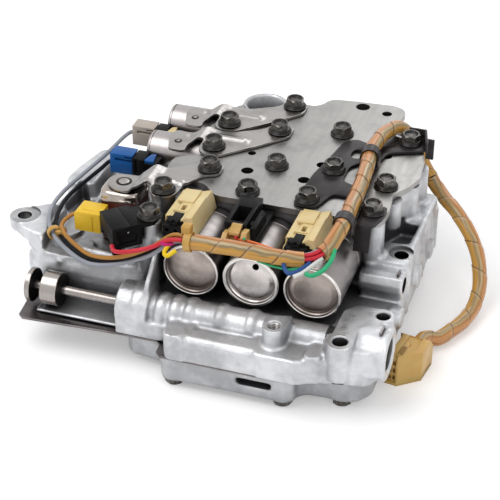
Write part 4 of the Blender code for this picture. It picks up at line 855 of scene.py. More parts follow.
def casting_forms():
    """What stands on the main casting beside the solids of the frame."""
    forms = [
        prism(FLANGE_FOOT, CASTING_BOTTOM, CASTING_BOTTOM + 11),
        drum((-50, SPOOL_Y, SPOOL_Z), (-45.5, SPOOL_Y, SPOOL_Z), 14.6),
        drum((BARREL_RIGHT - 4, SPOOL_Y, SPOOL_Z), (BARREL_RIGHT, SPOOL_Y, SPOOL_Z), 15.2),
        capsule((80, -118, 31), (90, -116.5, 31), 3.4),
        upright((-21, -124.6), 6.2, CASTING_BOTTOM, CASTING_BOTTOM + 17),
        block((67, SHIFT_Y - 4.6, 40), (90.5, SHIFT_Y + 6.4, SHIFT_Z + 6.2)),
        upright((-112, -62), 9.0, 42, 49.5),
        upright((-96, -74), 6.0, 42, 48.5),
        upright((-100, 0), 9.0, 42, 50),
        capsule((-118, -74, 46), (-60, -81, 46.5), 3.2),
        capsule((-113, -77.5, 34), (-58, -77.5, 34), 13.2),
        upright((-106, -86), 3.0, CASTING_BOTTOM + 2, CASTING_BOTTOM + 22),
        capsule((-126, -40, 47), (-118, 10, 52), 4.0),
        capsule((-70, -72, 46), (-58, -30, 46), 3.5),
        capsule((-96, 24, 46), (-70, 34, 46), 3.5),
    ]
    for place, radius in EDGE_BOSSES:
        forms.append(upright(place, radius, CASTING_BOTTOM + 4, DECK_TOP + RAISE))
    for (y, z), radius in SIDE_PLUGS:
        forms.append(drum((86, y, z), (93.5, y, z), radius))
    for y in (-46, -8, 26):
        forms.append(block((88, y - 1.4, CASTING_BOTTOM + 1), (92.6, y + 1.4, STEP_TOP - 3)))
    for x in (-48, -19, 7, 33, 58):
        forms.append(block((x - 1.6, 80, CASTING_BOTTOM + 1), (x + 1.6, 88, CASTING_BOTTOM + 30)))
    for y in (-60, -35, -5):
        forms.append(block((-133, y - 1.6, CASTING_BOTTOM + 1),
                           (-126, y + 1.6, CASTING_BOTTOM + 20)))
    return forms


def casting_pockets():
    """Soft pockets that are cast in, cut before the skin is made."""
    pockets = [
        prism([(67, -80), (90, -79), (89, -62), (67, -62)], 46, 60),
        prism([(66, -28), (86, -26), (87, -4), (76, -4), (70, -16)], 47, 60),
        prism([(-12, -119), (22, -117), (22, -113.5), (-12, -113.5)], 36.2, 40),
        prism([(-132, 32.5), (-125.2, 39.5), (-132, 39.5)], -14.5, 26, "X"),
        block((-14.5, -133, CASTING_BOTTOM - 2), (27.5, -129.3, 40)),
        prism([(-124, -40), (-116, -42), (-114, -24), (-121, -20)], 43, 60),
        prism([(-92, 12), (-74, 14), (-76, 30), (-92, 26)], 43.5, 60),
        prism([(-110, -30), (-96, -34), (-94, -12), (-106, -8)], 43.5, 60),
    ]
    for x in REAR_BORES:
        pockets.append(drum((x, 84.5, 31), (x, 92, 31), 6.6))
    return pockets


def machined_cuts():
    """Flat faces, bores and chamfered holes, cut crisp after the skin is made."""
    above_deck = shaped(
        block((-60, -49, DECK_TOP), (96, 92, DECK_TOP + 12)),
        cut=[upright(RING_PLACE, 15.2, DECK_TOP - 3, DECK_TOP + 20),
             upright(POST_PLACE, 8.2, DECK_TOP - 3, DECK_TOP + 20)],
    )
    cuts = [
        above_deck,
        upright(RING_PLACE, 16.5, PLATE_TOP, PLATE_TOP + 9),
        upright(POST_PLACE, 9.5, PLATE_TOP, PLATE_TOP + 9),
        block((56, -132, BOSS_TOP), (97, -81, BOSS_TOP + 9)),
        block((22, -126, BOSS_TOP), (46, -100, BOSS_TOP + 6)),
        upright(LUG_PLACE, 9.6, LUG_TOP, LUG_TOP + 9),
        upright(STEP_PLACE, 7.4, STEP_TOP, STEP_TOP + 9),
        block((LEFT_TIP - 9, FRONT_FACE - 9, 0), (120, 99, CASTING_BOTTOM)),
        drum((FLANGE_LEFT - 5, SPOOL_Y, SPOOL_Z), (43.5, SPOOL_Y, SPOOL_Z), 6.35, sides=48),
        drum((FLANGE_LEFT - 1, SPOOL_Y, SPOOL_Z), (FLANGE_LEFT + 1.5, SPOOL_Y, SPOOL_Z), 8.4, 6.3),
        drum((47.5, SPOOL_Y, SPOOL_Z), (110, SPOOL_Y, SPOOL_Z), 7.35, sides=48),
        drum((BARREL_RIGHT - 3.5, SPOOL_Y, SPOOL_Z), (110, SPOOL_Y, SPOOL_Z), 9.5, sides=48),
        drum((BARREL_RIGHT - 1.2, SPOOL_Y, SPOOL_Z), (BARREL_RIGHT + 0.8, SPOOL_Y, SPOOL_Z),
             9.4, 11.4, sides=48),
        upright(RING_PLACE, 11.5, PLATE_TOP - 44, PLATE_TOP + 9, sides=64),
        drum((*RING_PLACE, PLATE_TOP - 1.2), (*RING_PLACE, PLATE_TOP + 0.8), 11.4, 13.4, sides=64),
        upright(STEP_PLACE, 4.25, 5, 70),
        upright(LUG_PLACE, 4.25, 5, 70),
    ]
    for place, _, hole in [(THREADED_PLACE, 6.5, 3.45), *RIGHT_PLACES]:
        cuts.append(upright(place, hole, BOSS_TOP - 20, BOSS_TOP + 9))
        cuts.append(drum((*place, BOSS_TOP - 0.9), (*place, BOSS_TOP + 0.3),
                         hole - 0.1, hole + 1.1))
    cuts.append(drum((68, SHIFT_Y, SHIFT_Z), (97, SHIFT_Y, SHIFT_Z), 4.75, sides=32))
    return cuts


def build_main_casting(settings):
    """The upper casting: cast round the frame's solids, then machined, with painted shade inside
    its deep holes and bores.
    """
    solids = joined(raised(cad_mesh("main_body"), FACED_LEVELS), *casting_forms())
    rough = shaped(cast(solids, settings.voxel, 0), cut=casting_pockets(), solver="MANIFOLD")
    skin = cast(rough, settings.voxel, settings.passes)
    crisp = shaped(skin, cut=machined_cuts(), solver="MANIFOLD")
    light = changed(crisp, ("DECIMATE", {"ratio": 0.5}))
    for vertex in light.vertices:
        for level in FACED_LEVELS:
            if abs(vertex.co.z - level) < 0.15:
                vertex.co.z = level
    painted(light, 0)
    # Walls of the deep holes and of the spool and shift bores take a near-black finish: painted
    # shade.
    for place, radius, top in DEEP_HOLES:
        painted(light, 1, lambda centre, normal: centre.z < top and abs(normal.z) < 0.7
                and (centre.x - place[0]) ** 2 + (centre.y - place[1]) ** 2 < (radius + 0.2) ** 2)
    for y, z, radius in ((SPOOL_Y, SPOOL_Z, 9.7), (SHIFT_Y, SHIFT_Z, 4.95)):
        painted(light, 1, lambda centre, normal: centre.x > 60 and abs(normal.x) < 0.7
                and (centre.y - y) ** 2 + (centre.z - z) ** 2 < radius ** 2)
    made = piece("main_casting", light, ["cast_aluminium", "painted_hole_shade"],
                 stands_for="main_body", angle=48)
    for face in made.data.polygons:
        if face.normal.z > 0.9985:
            face.use_smooth = False


def build_lower_casting(settings):
    """The lower casting, flat where it stands on its bolts."""
    below = [block((-200, -200, -5), (200, 200, FOOT_LEVEL))]
    lower = shaped(cast(cad_mesh("lower_body"), settings.voxel, 3), cut=below, solver="MANIFOLD")
    skin = changed(lower, ("DECIMATE", {"ratio": 0.6}))
    piece("lower_casting", skin, "lower_aluminium", stands_for="lower_body", angle=48)


def build_casting_details():
    """The plugs in the bores and the thread in the front boss."""
    for name in ("regulator_plug", "shift_plug"):
        dress(name, "thread_steel", 0.3)
    root, crest, turns = 3.40, 2.85, 12
    thread = [(root, 0)]
    for step in range(turns):
        thread += [(crest, step + 0.5), (root, step + 1.0)]
    thread += [(root + 0.03, turns), (root + 0.03, 0), (root, 0)]
    place = (*THREADED_PLACE, BOSS_TOP - turns - 1)
    piece("boss_thread", lathe(thread, place, (0, 0, 1), 32), "thread_steel")
    profile = [(0, 0), (5.9, 0), (6.4, 0.5), (6.4, 2.4), (0, 2.4)]
    plugs = [lathe(profile, (x, 87.2, 31), (0, -1, 0), 32) for x in REAR_BORES]
    piece("rear_bore_plugs", joined(*plugs), "thread_steel")


# Sheets

# Middle and radius of each open hole in the cover plate
PLATE_HOLES = [((-14.5, -17.8), 3.7), ((-18.4, 2.6), 2.5), ((20.2, -17.7), 3.65),
               ((25.3, 2.3), 3.3), ((29.6, 80.2), 4.5), ((46.2, 76.0), 3.15),
               ((59.3, 24.2), 3.0), ((45.7, -18.6), 3.0)]
FLAT_OUTLINE = [(-72.6, 36), (-67.6, 20.4), (-57.4, 20.4), (-58.6, 28.5), (-54.5, 34.2),
                (-49.6, 36.2), (-50.9, 27), (-47.5, 21.8), (-37, 20.8), (-18, 39.5), (-2.5, 57),
                (-3, 69), (-15, 71), (-20, 61), (-36, 51.7), (-50.4, 51.2), (-54.5, 46.5),
                (-60.3, 42.4), (-70.6, 43.4)]
HOLD_DOWN_SHEET = 1.5
BRACKET_SHEET = 1.6
SECOND_SHIFT = (0.5, -31.0)
THIRD_OUTLINE = [(-88.6, -50.5), (-86.8, -56.6), (-82, -60.4), (-76.5, -61.4), (-70.8, -60.4),
                 (-67.6, -56.6), (-64.4, -53), (-61, -52.9), (-60.2, -58), (-57, -63.4),
                 (-52, -65), (-46, -62.5), (-43.6, -57), (-43.5, -48), (-36, -34), (-27.5, -30),
                 (-28, -19.5), (-36, -16.6), (-47, -25), (-58, -32.4), (-65.5, -35),
                 (-69.4, -41), (-73, -43), (-80, -43), (-86, -45.2)]
HARNESS_BRACKET = [(22, -47), (36, -47), (41, -30), (54, -30), (54, -68), (61, -68), (61, -22),
                   (42, -14), (42, 3), (48, 10), (56, 10), (60, 26), (77, 33), (80.2, 36),
                   (79.3, 51), (66, 51), (58, 33), (44, 33), (38, 36), (31, 31), (27, 4), (24, -12)]
SIDE_BRACKET = [(61.8, -47), (62.3, -34.5), (74.5, -34.5), (75, -46), (71.6, -57), (61.8, -57)]


def rounded(outline, radius, steps=4):
    """An outline with its corners eased, each by no more than its sides allow."""
    result = []
    for index, corner in enumerate(outline):
        here = Vector(corner)
        before = Vector(outline[index - 1]) - here
        after = Vector(outline[(index + 1) % len(outline)]) - here
        start = here + before.normalized() * min(radius, before.length * 0.45)
        end = here + after.normalized() * min(radius, after.length * 0.45)
        for step in range(steps + 1):
            t = step / steps
            result.append(tuple(start * (1 - t) ** 2 + here * 2 * t * (1 - t) + end * t * t))
    return result


def sheet_mesh(outline, low, high, lift=None, holes=(), grid=1.3, edge=0.28):
    """A sheet cut on a fine grid and lifted by a rule, with its edges rounded."""
    mesh = prism(outline, low, high)
    if holes:
        mesh = shaped(mesh, cut=[prism(hole, low - 2, high + 2) for hole in holes])
    if lift:
        form = bmesh.new()
        form.from_mesh(mesh)
        for axis, across in ((0, Vector((1, 0, 0))), (1, Vector((0, 1, 0)))):
            places = [vertex.co[axis] for vertex in form.verts]
            step = ceil(min(places) / grid) * grid + 0.013
            while step < max(places):
                parts = [*form.verts, *form.edges, *form.faces]
                bmesh.ops.bisect_plane(form, geom=parts, dist=0.001, plane_co=across * step,
                                       plane_no=across)
                step += grid
        for vertex in form.verts:
            vertex.co.z += lift(vertex.co.x, vertex.co.y)
        mesh = mesh_from(form)
    return softened(mesh, edge, 2, 40)


def hump(value, middle, width):
    """A smooth bump of height one."""
    reach = abs(value - middle) / width
    return 0.0 if reach >= 1 else (cos(pi * reach) + 1) / 2


def ease(value, start, end):
    """From zero at the start to one at the end, without a kink."""
    t = min(1.0, max(0.0, (value - start) / (end - start)))
    return t * t * (3 - 2 * t)


def flat_lift(shift_x, shift_y):
    """A raised arm from the tab to the plate, and a long rib behind the bolt."""
    def lift(x, y):
        x, y = x - shift_x, y - shift_y
        arm = 2.5 * hump(x, -53.2, 6.6) * ease(y, 28.5, 35)
        dent = 0.7 * hump(x, -59.5, 3.4) * hump(y, 38.5, 4.5)
        rib = 1.5 * ease(abs(y - 43.0), 3.4, 1.5) * ease(x, -52, -47) * ease(x, -23.6, -26.4)
        return max(arm, rib) - dent
    return lift


def third_lift(x, y):
    """A sunk round tab, a folded arm that rises from it, and a long rib."""
    tab = -2.4 * ease(x, -69.6, -73.2)
    arm = 2.6 * hump(x, -64.6, 6.4) * ease(y, -59, -50)
    line = -43.9 - (x + 62.2) * 0.12
    rib = 1.5 * ease(abs(y - line), 3.3, 1.5) * ease(x, -66, -61) * ease(x, -41.4, -44.2)
    return tab + max(arm, rib)


def tab_pin(place, level, size, dark):
    """A riveted pin: a bright middle in a near-black ring, which is painted shade round the pin."""
    x, y = place
    # The ring takes the near-black bore finish: painted shade round the pin.
    ring = lathe([(0, -0.3), (size, -0.3), (size, 0.10), (size - 0.2, 0.2), (0, 0.2)],
                 (x, y, level), (0, 0, 1), 36)
    core = size - dark
    pin = lathe([(0, 0), (core, 0), (core, 0.30), (core - 0.2, 0.42), (0, 0.46)],
                (x, y, level), (0, 0, 1), 32)
    return joined(painted(ring, 1), painted(pin, 0))


def build_plates():
    """The two plates, the bore retainers, and near-black discs under the plate's holes, which are
    painted shade.
    """
    dress("cover_plate", "plate_steel", 0.8)
    dress("separator_plate", "separator_steel", 0.25)
    for name in ("regulator_key", "shift_key"):
        dress(name, "separator_steel", 0.2)
    level = node_box("cover_plate")[0].z
    # Near-black discs under the plate's holes: painted shade.
    hole_shade_discs = [upright(place, radius + 0.6, level - 0.2, level + 0.12, 24)
             for place, radius in PLATE_HOLES]
    piece("plate_hole_shade_discs", joined(*hole_shade_discs), "bore_steel")


def build_hold_downs():
    """Three pressed arms with their riveted pins."""
    base = node_box("hold_down_one")[0].z
    top = base + HOLD_DOWN_SHEET
    second = [(x + SECOND_SHIFT[0], y + SECOND_SHIFT[1]) for x, y in FLAT_OUTLINE]
    sheets = [("hold_down_one", FLAT_OUTLINE, flat_lift(0, 0)),
              ("hold_down_two", second, flat_lift(*SECOND_SHIFT)),
              ("hold_down_three", THIRD_OUTLINE, third_lift)]
    for name, outline, lift in sheets:
        mesh = sheet_mesh(rounded(outline, 3.2), base, top, lift)
        piece(name + "_sheet", mesh, "bracket_steel", stands_for=name, angle=50)
    pins = [tab_pin((-64.9, 30.7), top, 2.3, 1.1), tab_pin((-64.4, -0.3), top, 2.3, 1.1),
            tab_pin((-78.8, -51.2), top - 2.4, 4.7, 1.5)]
    piece("tab_pins", joined(*pins), ["bracket_steel", "bore_steel"])


# Bolts

def bolt_mesh(settings):
    """A flange bolt with a dished hexagon head, its seat at height zero."""
    flange, top = settings.flange_radius, settings.head_height
    corner = settings.across_flats / sqrt(3)
    body = lathe(
        [(0, -1.5), (3.0, -1.5), (3.0, 0), (flange - 0.4, 0), (flange, 0.3), (flange, 0.75),
         (flange - 0.3, 1.05), (corner + 0.5, 1.75), (corner - 0.3, 2.2), (0, 2.2)],
        (0, 0, 0), (0, 0, 1), 48,
    )
    hexagon = drum((0, 0, 1.0), (0, 0, top), corner, sides=6)
    edge = corner * 0.86
    crown = lathe(
        [(0, 0.5), (corner + 0.4, 0.5), (corner + 0.4, top - 1.15), (edge, top), (0, top)],
        (0, 0, 0), (0, 0, 1), 48,
    )
    tool = bpy.data.objects.new("tool", crown)
    bpy.context.scene.collection.objects.link(tool)
    meet = {"operation": "INTERSECT", "object": tool}
    head = changed(hexagon, ("BOOLEAN", meet), others=[tool])
    dish = lathe(
        [(0, -0.3), (edge * 0.62, -0.3), (edge * 0.84, settings.dish_depth * 0.9),
         (edge * 0.9, settings.dish_depth + 0.6), (0, settings.dish_depth + 0.6)],
        (0, 0, top - settings.dish_depth), (0, 0, 1), 40,
    )
    return softened(shaped(body, add=[head], cut=[dish]), 0.16, 2, 28)


FOOT_PLACES = [(-23.6, -119.0), (39.8, -118.2), (71.0, -107.6), (-98.0, -45.0), (-96.0, 6.0),
               (-38.0, 70.0), (46.0, 74.0), (76.0, -18.0)]
HEAD_TURN = 23
FOOT_TURN = 0.4


def build_bolts(settings):
    """The flange bolts on top, and the squat heads that the body stands on."""
    pattern = bolt_mesh(settings)
    names = sorted(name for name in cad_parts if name.startswith("bolt_"))
    for index, name in enumerate(names):
        low, high = node_box(name)
        seat = high.z - settings.head_height
        place = moved(pattern, (low.x + high.x) / 2, (low.y + high.y) / 2, seat,
                      HEAD_TURN * index)
        piece(name + "_head", place, "dark_bolt", stands_for=name, angle=30)
    heads = []
    for index, (x, y) in enumerate(FOOT_PLACES):
        hanging = pattern.copy()
        hanging.transform(Matrix.Rotation(pi, 4, "X") @ Matrix.Rotation(FOOT_TURN * index, 4, "Z"))
        heads.append(moved(hanging, x, y, FOOT_LEVEL))
    foot = joined(*heads)
    squeeze = FOOT_LEVEL / settings.head_height
    for vertex in foot.vertices:
        if vertex.co.z < FOOT_LEVEL:
            vertex.co.z = FOOT_LEVEL - (FOOT_LEVEL - vertex.co.z) * squeeze
    piece("foot_bolts", foot, "dark_bolt", angle=30)


# Linear solenoids

def can_profile(radius, front, lip, dish):
    """A drawn can from its seat to its rolled lip and the swell of its dished face."""
    inner, floor = radius - lip, front - dish
    profile = [(0, -2), (6.8, -2), (6.8, 0.2), (radius - 1.2, 0.2), (radius - 0.4, 0.5),
               (radius, 1.4), (radius, 6.0), (radius - 0.35, 6.3), (radius - 0.35, 7.0),
               (radius, 7.3), (radius, front - 1.1)]
    profile += [(radius - 0.9 + 0.9 * cos(radians(a)), front - 0.9 + 0.9 * sin(radians(a)))
                for a in (20, 45, 70, 90)]
    return profile + [
        (inner + 0.35, front), (inner, front - 0.3), (inner - 0.15, floor + 0.6),
        (inner - 0.7, floor), (inner * 0.88, floor + 0.35), (inner * 0.80, floor + 1.0),
        (inner * 0.70, floor + 1.25), (inner * 0.35, floor + 1.42), (0, floor + 1.48),
    ]


def build_linear_solenoids(settings):
    """Three cans, each with its own lip and face, and a vent in the middle one."""
    for side in ("left", "middle", "right"):
        name = f"solenoid_can_{side}"
        low, high = node_box(name)
        radius = (high.x - low.x) / 2
        rear = DECK_FRONT - SEAT
        middle = ((low.x + high.x) / 2, rear, (low.z + high.z) / 2)
        wide = side == "middle"
        lip = settings.wide_lip if wide else settings.lip_width
        can_length = rear - low.y
        mesh = lathe(can_profile(radius, can_length, lip, settings.dish), middle, (0, -1, 0), 96)
        if wide:
            vent = (middle[0] + 2.8, middle[2] + 10.0)
            bore = drum((vent[0], low.y - 2, vent[1]), (vent[0], low.y + 7, vent[1]),
                        settings.vent_radius)
            mesh = shaped(mesh, cut=[bore])
        inner = radius - lip - 0.1

        def reach(centre):
            return sqrt((centre.x - middle[0]) ** 2 + (centre.z - middle[2]) ** 2)

        painted(mesh, 0)
        painted(mesh, 1, lambda centre, normal: centre.y < low.y + 1.0
                and reach(centre) > inner)
        painted(mesh, 2, lambda centre, normal: centre.y < low.y + 3.4
                and reach(centre) <= inner - 0.3)
        # The walls of the vent take the near-black bore finish: painted shade.
        if wide:
            painted(mesh, 3, lambda centre, normal: abs(centre.x - vent[0]) < 2.2
                    and abs(centre.z - vent[1]) < 2.2 and abs(normal.y) < 0.4
                    and centre.y > low.y + 0.5)
        face_tone = "middle_face" if wide else "can_face"
        piece(name + "_case", mesh, ["can_steel", "can_lip", face_tone, "bore_steel"],
              stands_for=name)


# Connector housings on the linear solenoids, and their plugs

def cream_housing(left, front, bottom, width, depth, height):
    """A housing with a tall right ridge, a latch slot and an open front left corner."""
    top = bottom + height
    right = left + width
    section = [(left, bottom), (right, bottom), (right - 1.4, bottom + 6), (right - 3.0, top),
               (right - 6.4, top), (right - 8.6, top - 2.0), (left + 6.0, top - 2.2),
               (left + 4.4, top - 3.4), (left + 0.3, top - 3.6)]
    body = prism([(z, x) for x, z in section], front, front + depth, "Y")
    cuts = [
        block((left + 1.4, front - 2, bottom + 1.2), (right - 5.2, front + 11, top - 3.9)),
        block((left + 5.0, front - 2, top - 4.2), (right - 9.4, front + 7.5, top + 3)),
        block((left + 7.0, front + 10.5, top - 6.0), (left + 9.6, front + 16.0, top + 3)),
        block((left - 1, front - 2, bottom + 4), (left + 3.6, front + 4.5, top + 3)),
        prism([(top + 0.5, right + 1), (top + 0.5, right - 9), (top - 2.6, right - 9)],
              front + depth - 9, front + depth + 1, "Y"),
    ]
    body = softened(shaped(body, cut=cuts), 0.55, 3)
    rib = block((left + 3.4, front + 8.5, top - 3.2), (right - 9.2, front + 9.8, top - 1.5))
    back = block((left + 2.5, front + 18.5, top - 3.0),
                 (right - 8.5, front + depth - 1.5, top - 1.1))
    return joined(body, softened(rib, 0.3), softened(back, 0.5))


def black_plug(left, front, bottom, width, height, proud):
    """A stepped plug with a latch on top and a keyed side."""
    right, top, nose = left + width, bottom + height, front - proud
    body = block((left + 2.0, nose, bottom + 1.6), (right - 6.0, front + 10.5, top - 4.4))
    latch = block((left + 5.6, nose + 1.2, top - 5.0), (right - 10.0, front + 7.0, top - 1.6))
    bridge = block((left + 3.0, front - 1.0, top - 5.0), (right - 7.6, front + 4.0, top - 2.8))
    side = block((right - 7.0, nose + 2.4, bottom + 1.6), (right - 3.4, front + 3.0, top - 5.6))
    notch = block((left + 7.0, nose - 1, top - 3.2), (right - 11.6, front - 1.6, top + 1))
    cells = [drum((x, nose - 1, bottom + 4.4), (x, nose + 3, bottom + 4.4), 1.2, sides=16)
             for x in (left + 4.6, left + 9.6)]
    return softened(shaped(body, add=[latch, bridge, side], cut=[notch, *cells]), 0.35, 2)


def middle_housing_mesh(left, front, bottom, width, depth, height):
    """A black box with a deep window at its left and two tall plates at its right."""
    top = bottom + height
    right = left + width
    case = block((left + 0.5, front + 3, bottom), (right - 7.2, front + depth, top))
    base = block((left + 1.5, front + 1, bottom), (right - 0.5, front + depth, bottom + 4.0))
    plate = block((right - 4.6, front + 2.0, bottom), (right - 1.6, front + 22.0, top - 0.6))
    fin = block((right - 7.6, front + 9.0, bottom), (right - 4.0, front + 13.5, top - 3.0))
    window = block((left + 3.0, front + 6.0, bottom + 2.5), (right - 9.6, front + 22.0, top + 2))
    mouth = block((left + 2.6, front - 2, bottom + 2.2), (right - 9.2, front + 9.0, top - 2.4))
    slope = prism([(top + 1, right + 1), (top + 1, right - 5.5), (top - 4.5, right + 1)],
                  front + 16, front + depth + 1, "Y")
    return softened(shaped(case, add=[base, plate, fin], cut=[window, mouth, slope]), 0.45, 2)


def tan_plug_mesh(left, front, bottom, height):
    """A plug with two side arms, a hollow middle and a bent latch above it."""
    top = bottom + height
    low = bottom + 1.8
    base = block((left + 2.0, front - 6.5, low), (left + 16.0, front + 6, low + 2.6))
    rear = block((left + 3.4, front - 0.5, low), (left + 12.5, front + 8, top - 3.0))
    arm_left = prism([(-6.8, low), (-6.8, low + 5.2), (-4.0, low + 7.2), (1.5, low + 6.2),
                      (1.5, low)], left + 2.0, left + 4.6, "X")
    arm_right = prism([(-6.8, low), (-6.8, low + 4.6), (-3.0, low + 8.6), (2.5, low + 8.0),
                       (2.5, low)], left + 12.6, left + 15.6, "X")
    latch = prism([(-3.6, low + 6.4), (-3.4, low + 7.8), (2.0, low + 10.2), (6.0, low + 9.2),
                   (6.0, low + 7.6), (1.6, low + 8.2)], left + 5.4, left + 11.2, "X")
    arms = [moved(mesh, 0, front, 0) for mesh in (arm_left, arm_right, latch)]
    pin_hole = block((left + 5.6, front - 8, low + 2.8), (left + 11.0, front + 1.0, low + 6.0))
    return softened(shaped(base, add=[rear, *arms], cut=[pin_hole]), 0.4, 2)


def build_housings():
    """The two cream housings with black plugs, and the black one with its tan plug."""
    for side in ("left", "right"):
        low, high = node_box(f"{side}_housing")
        size = high - low
        housing = cream_housing(low.x, low.y, low.z, *size)
        piece(f"{side}_housing_shell", housing, "cream_nylon",
              stands_for=f"{side}_housing")
        plug = black_plug(low.x, low.y, low.z, size.x, size.z, 4.6)
        piece(f"{side}_plug_body", plug, "black_nylon", stands_for=f"{side}_plug")
    low, high = node_box("middle_housing")
    size = high - low
    piece("middle_housing_shell", middle_housing_mesh(low.x, low.y, low.z, *size), "black_nylon",
          stands_for="middle_housing")
    piece("middle_plug_body", tan_plug_mesh(low.x, low.y, low.z, size.z), "tan_nylon",
          stands_for="middle_plug")


# Shift solenoids

def side_plug(low, high):
    """A plug with a long slot and a ledge in its front side."""
    body = block(low, high)
    slot = block((low.x + 3.2, low.y - 2, high.z - 4.3), (high.x + 2, low.y + 2.2, high.z - 3.0))
    over = block((low.x + 3.2, low.y - 2, high.z - 4.6), (high.x + 2, low.y + 0.8, high.z - 3.0))
    relief = block((low.x - 2, low.y - 2, high.z - 3.4), (high.x + 2, low.y + 0.48, high.z + 2))
    groove = block((low.x + 9.5, low.y - 2, high.z - 2.2), (high.x + 2, high.y + 2, high.z - 1.2))
    return softened(shaped(body, cut=[slot, over, relief, groove]), 0.35, 2)


PLUG_TONES = {"one": ("cream_nylon", "beige_nylon"), "two": ("blue_nylon", "blue_nylon")}


def build_shift_solenoids():
    """Two slim steel solenoids, their black sockets with a coloured key, and their plugs."""
    for name, (key_tone, plug_tone) in PLUG_TONES.items():
        low, high = node_box(f"shift_solenoid_{name}")
        radius = (high.y - low.y) / 2
        start = (low.x, (low.y + high.y) / 2, (low.z + high.z) / 2)
        run = DECK_LEFT - SEAT - low.x
        profile = [(0, 0.9), (radius * 0.7, 0.9), (radius * 0.82, 0.2), (radius - 1.2, 0.2),
                   (radius - 0.4, 0.45), (radius, 1.1), (radius, 1.9), (radius - 0.45, 2.0),
                   (radius - 0.45, 2.35), (radius, 2.45), (radius, run - 0.8),
                   (radius - 0.8, run), (4.2, run), (4.2, run + 3), (0, run + 3)]
        piece(f"shift_solenoid_{name}_case", lathe(profile, start, (1, 0, 0), 80), "coil_steel",
              stands_for=f"shift_solenoid_{name}")
        low, high = node_box(f"solenoid_socket_{name}")
        socket = block(low, high)
        cuts = [block((low.x + 7.5, low.y - 1, high.z - 2.2), (high.x + 1, high.y + 1, high.z + 1)),
                block((low.x + 2.2, low.y - 1, low.z + 3.4),
                      (low.x + 4.0, low.y + 0.8, high.z + 1))]
        body = softened(shaped(socket, cut=cuts), 0.4, 2)
        piece(f"solenoid_socket_{name}_body", body, "black_nylon",
              stands_for=f"solenoid_socket_{name}")
        key = prism([(low.x + 7.0, low.y + 1.2), (low.x + 13.5, low.y + 1.2),
                     (low.x + 12, high.y - 1), (low.x + 9.0, high.y - 2)],
                    high.z - 2.6, high.z - 0.4)
        piece(f"socket_key_{name}", softened(key, 0.4), key_tone)
        piece(f"solenoid_plug_{name}_body", side_plug(*node_box(f"solenoid_plug_{name}")),
              plug_tone, stands_for=f"solenoid_plug_{name}")


def ringed(rings):
    """A closed skin over rings of points, each of the same number."""
    form = bmesh.new()
    rings = [[form.verts.new(place) for place in ring] for ring in rings]
    for under, over in zip(rings, rings[1:]):
        for index in range(len(under)):
            after = (index + 1) % len(under)
            form.faces.new((under[index], under[after], over[after], over[index]))
    form.faces.new(rings[-1])
    form.faces.new(list(reversed(rings[0])))
    bmesh.ops.recalc_face_normals(form, faces=form.faces)
    return mesh_from(form)


def build_third_solenoid():
    """The brown solenoid under a folded steel cap with a wavy rim, and its yellow plug."""
    low, high = node_box("shift_solenoid_three")
    centre = ((low.x + high.x) / 2, (low.y + high.y) / 2)
    half_x, half_y = (high.x - low.x) / 2, (high.y - low.y) / 2
    top = high.z - 2.6
    levels = [(0.88, top - 5.0), (0.98, top - 5.9), (1.0, top - 5.4), (0.985, top - 4.8),
              (0.955, top - 3.9), (0.95, top - 2.6), (0.92, top - 1.3), (0.84, top - 0.4),
              (0.72, top), (0.3, top + 0.15)]
    steps = 72
    rings = []
    for share, level in levels:
        height = 0.8 if level < top - 4.5 else 0.0
        line = superellipse(centre, half_x * share, half_y * share, 3.6, steps)
        rings.append([(x, y, level + height * sin(index / steps * tau * 4 + 0.6))
                      for index, (x, y) in enumerate(line)])
    piece("third_cap", ringed(rings), "cap_steel")
    body = prism(superellipse(centre, half_x * 0.93, half_y * 0.93, 5, 40), low.z, top - 4.4)
    ledge = prism(superellipse(centre, half_x * 0.97, half_y * 0.97, 5, 40), low.z + 2, top - 12.5)
    piece("third_body", joined(softened(body, 0.4), softened(ledge, 0.6)), "brown_nylon",
          stands_for="shift_solenoid_three")
    low, high = node_box("solenoid_plug_three")
    plug = block(low, high)
    cuts = [
        block((low.x + 4.0, low.y + 3.0, high.z - 0.5), (high.x - 4.5, low.y + 4.0, high.z + 1)),
        block((high.x - 5.0, low.y - 1, low.z - 1), (high.x - 4.2, low.y + 0.6, high.z - 2.0)),
        prism([(high.z + 1, low.x - 1), (high.z + 1, low.x + 2.4), (high.z - 2.2, low.x - 1)],
              low.y - 1, high.y + 1, "Y"),
    ]
    piece("solenoid_plug_three_body", softened(shaped(plug, cut=cuts), 0.9, 3), "yellow_nylon",
          stands_for="solenoid_plug_three")


# Oil temperature sensor

SENSOR_TURN = radians(42)
SENSOR_EYE = Vector((16.2, -4.9, 0))


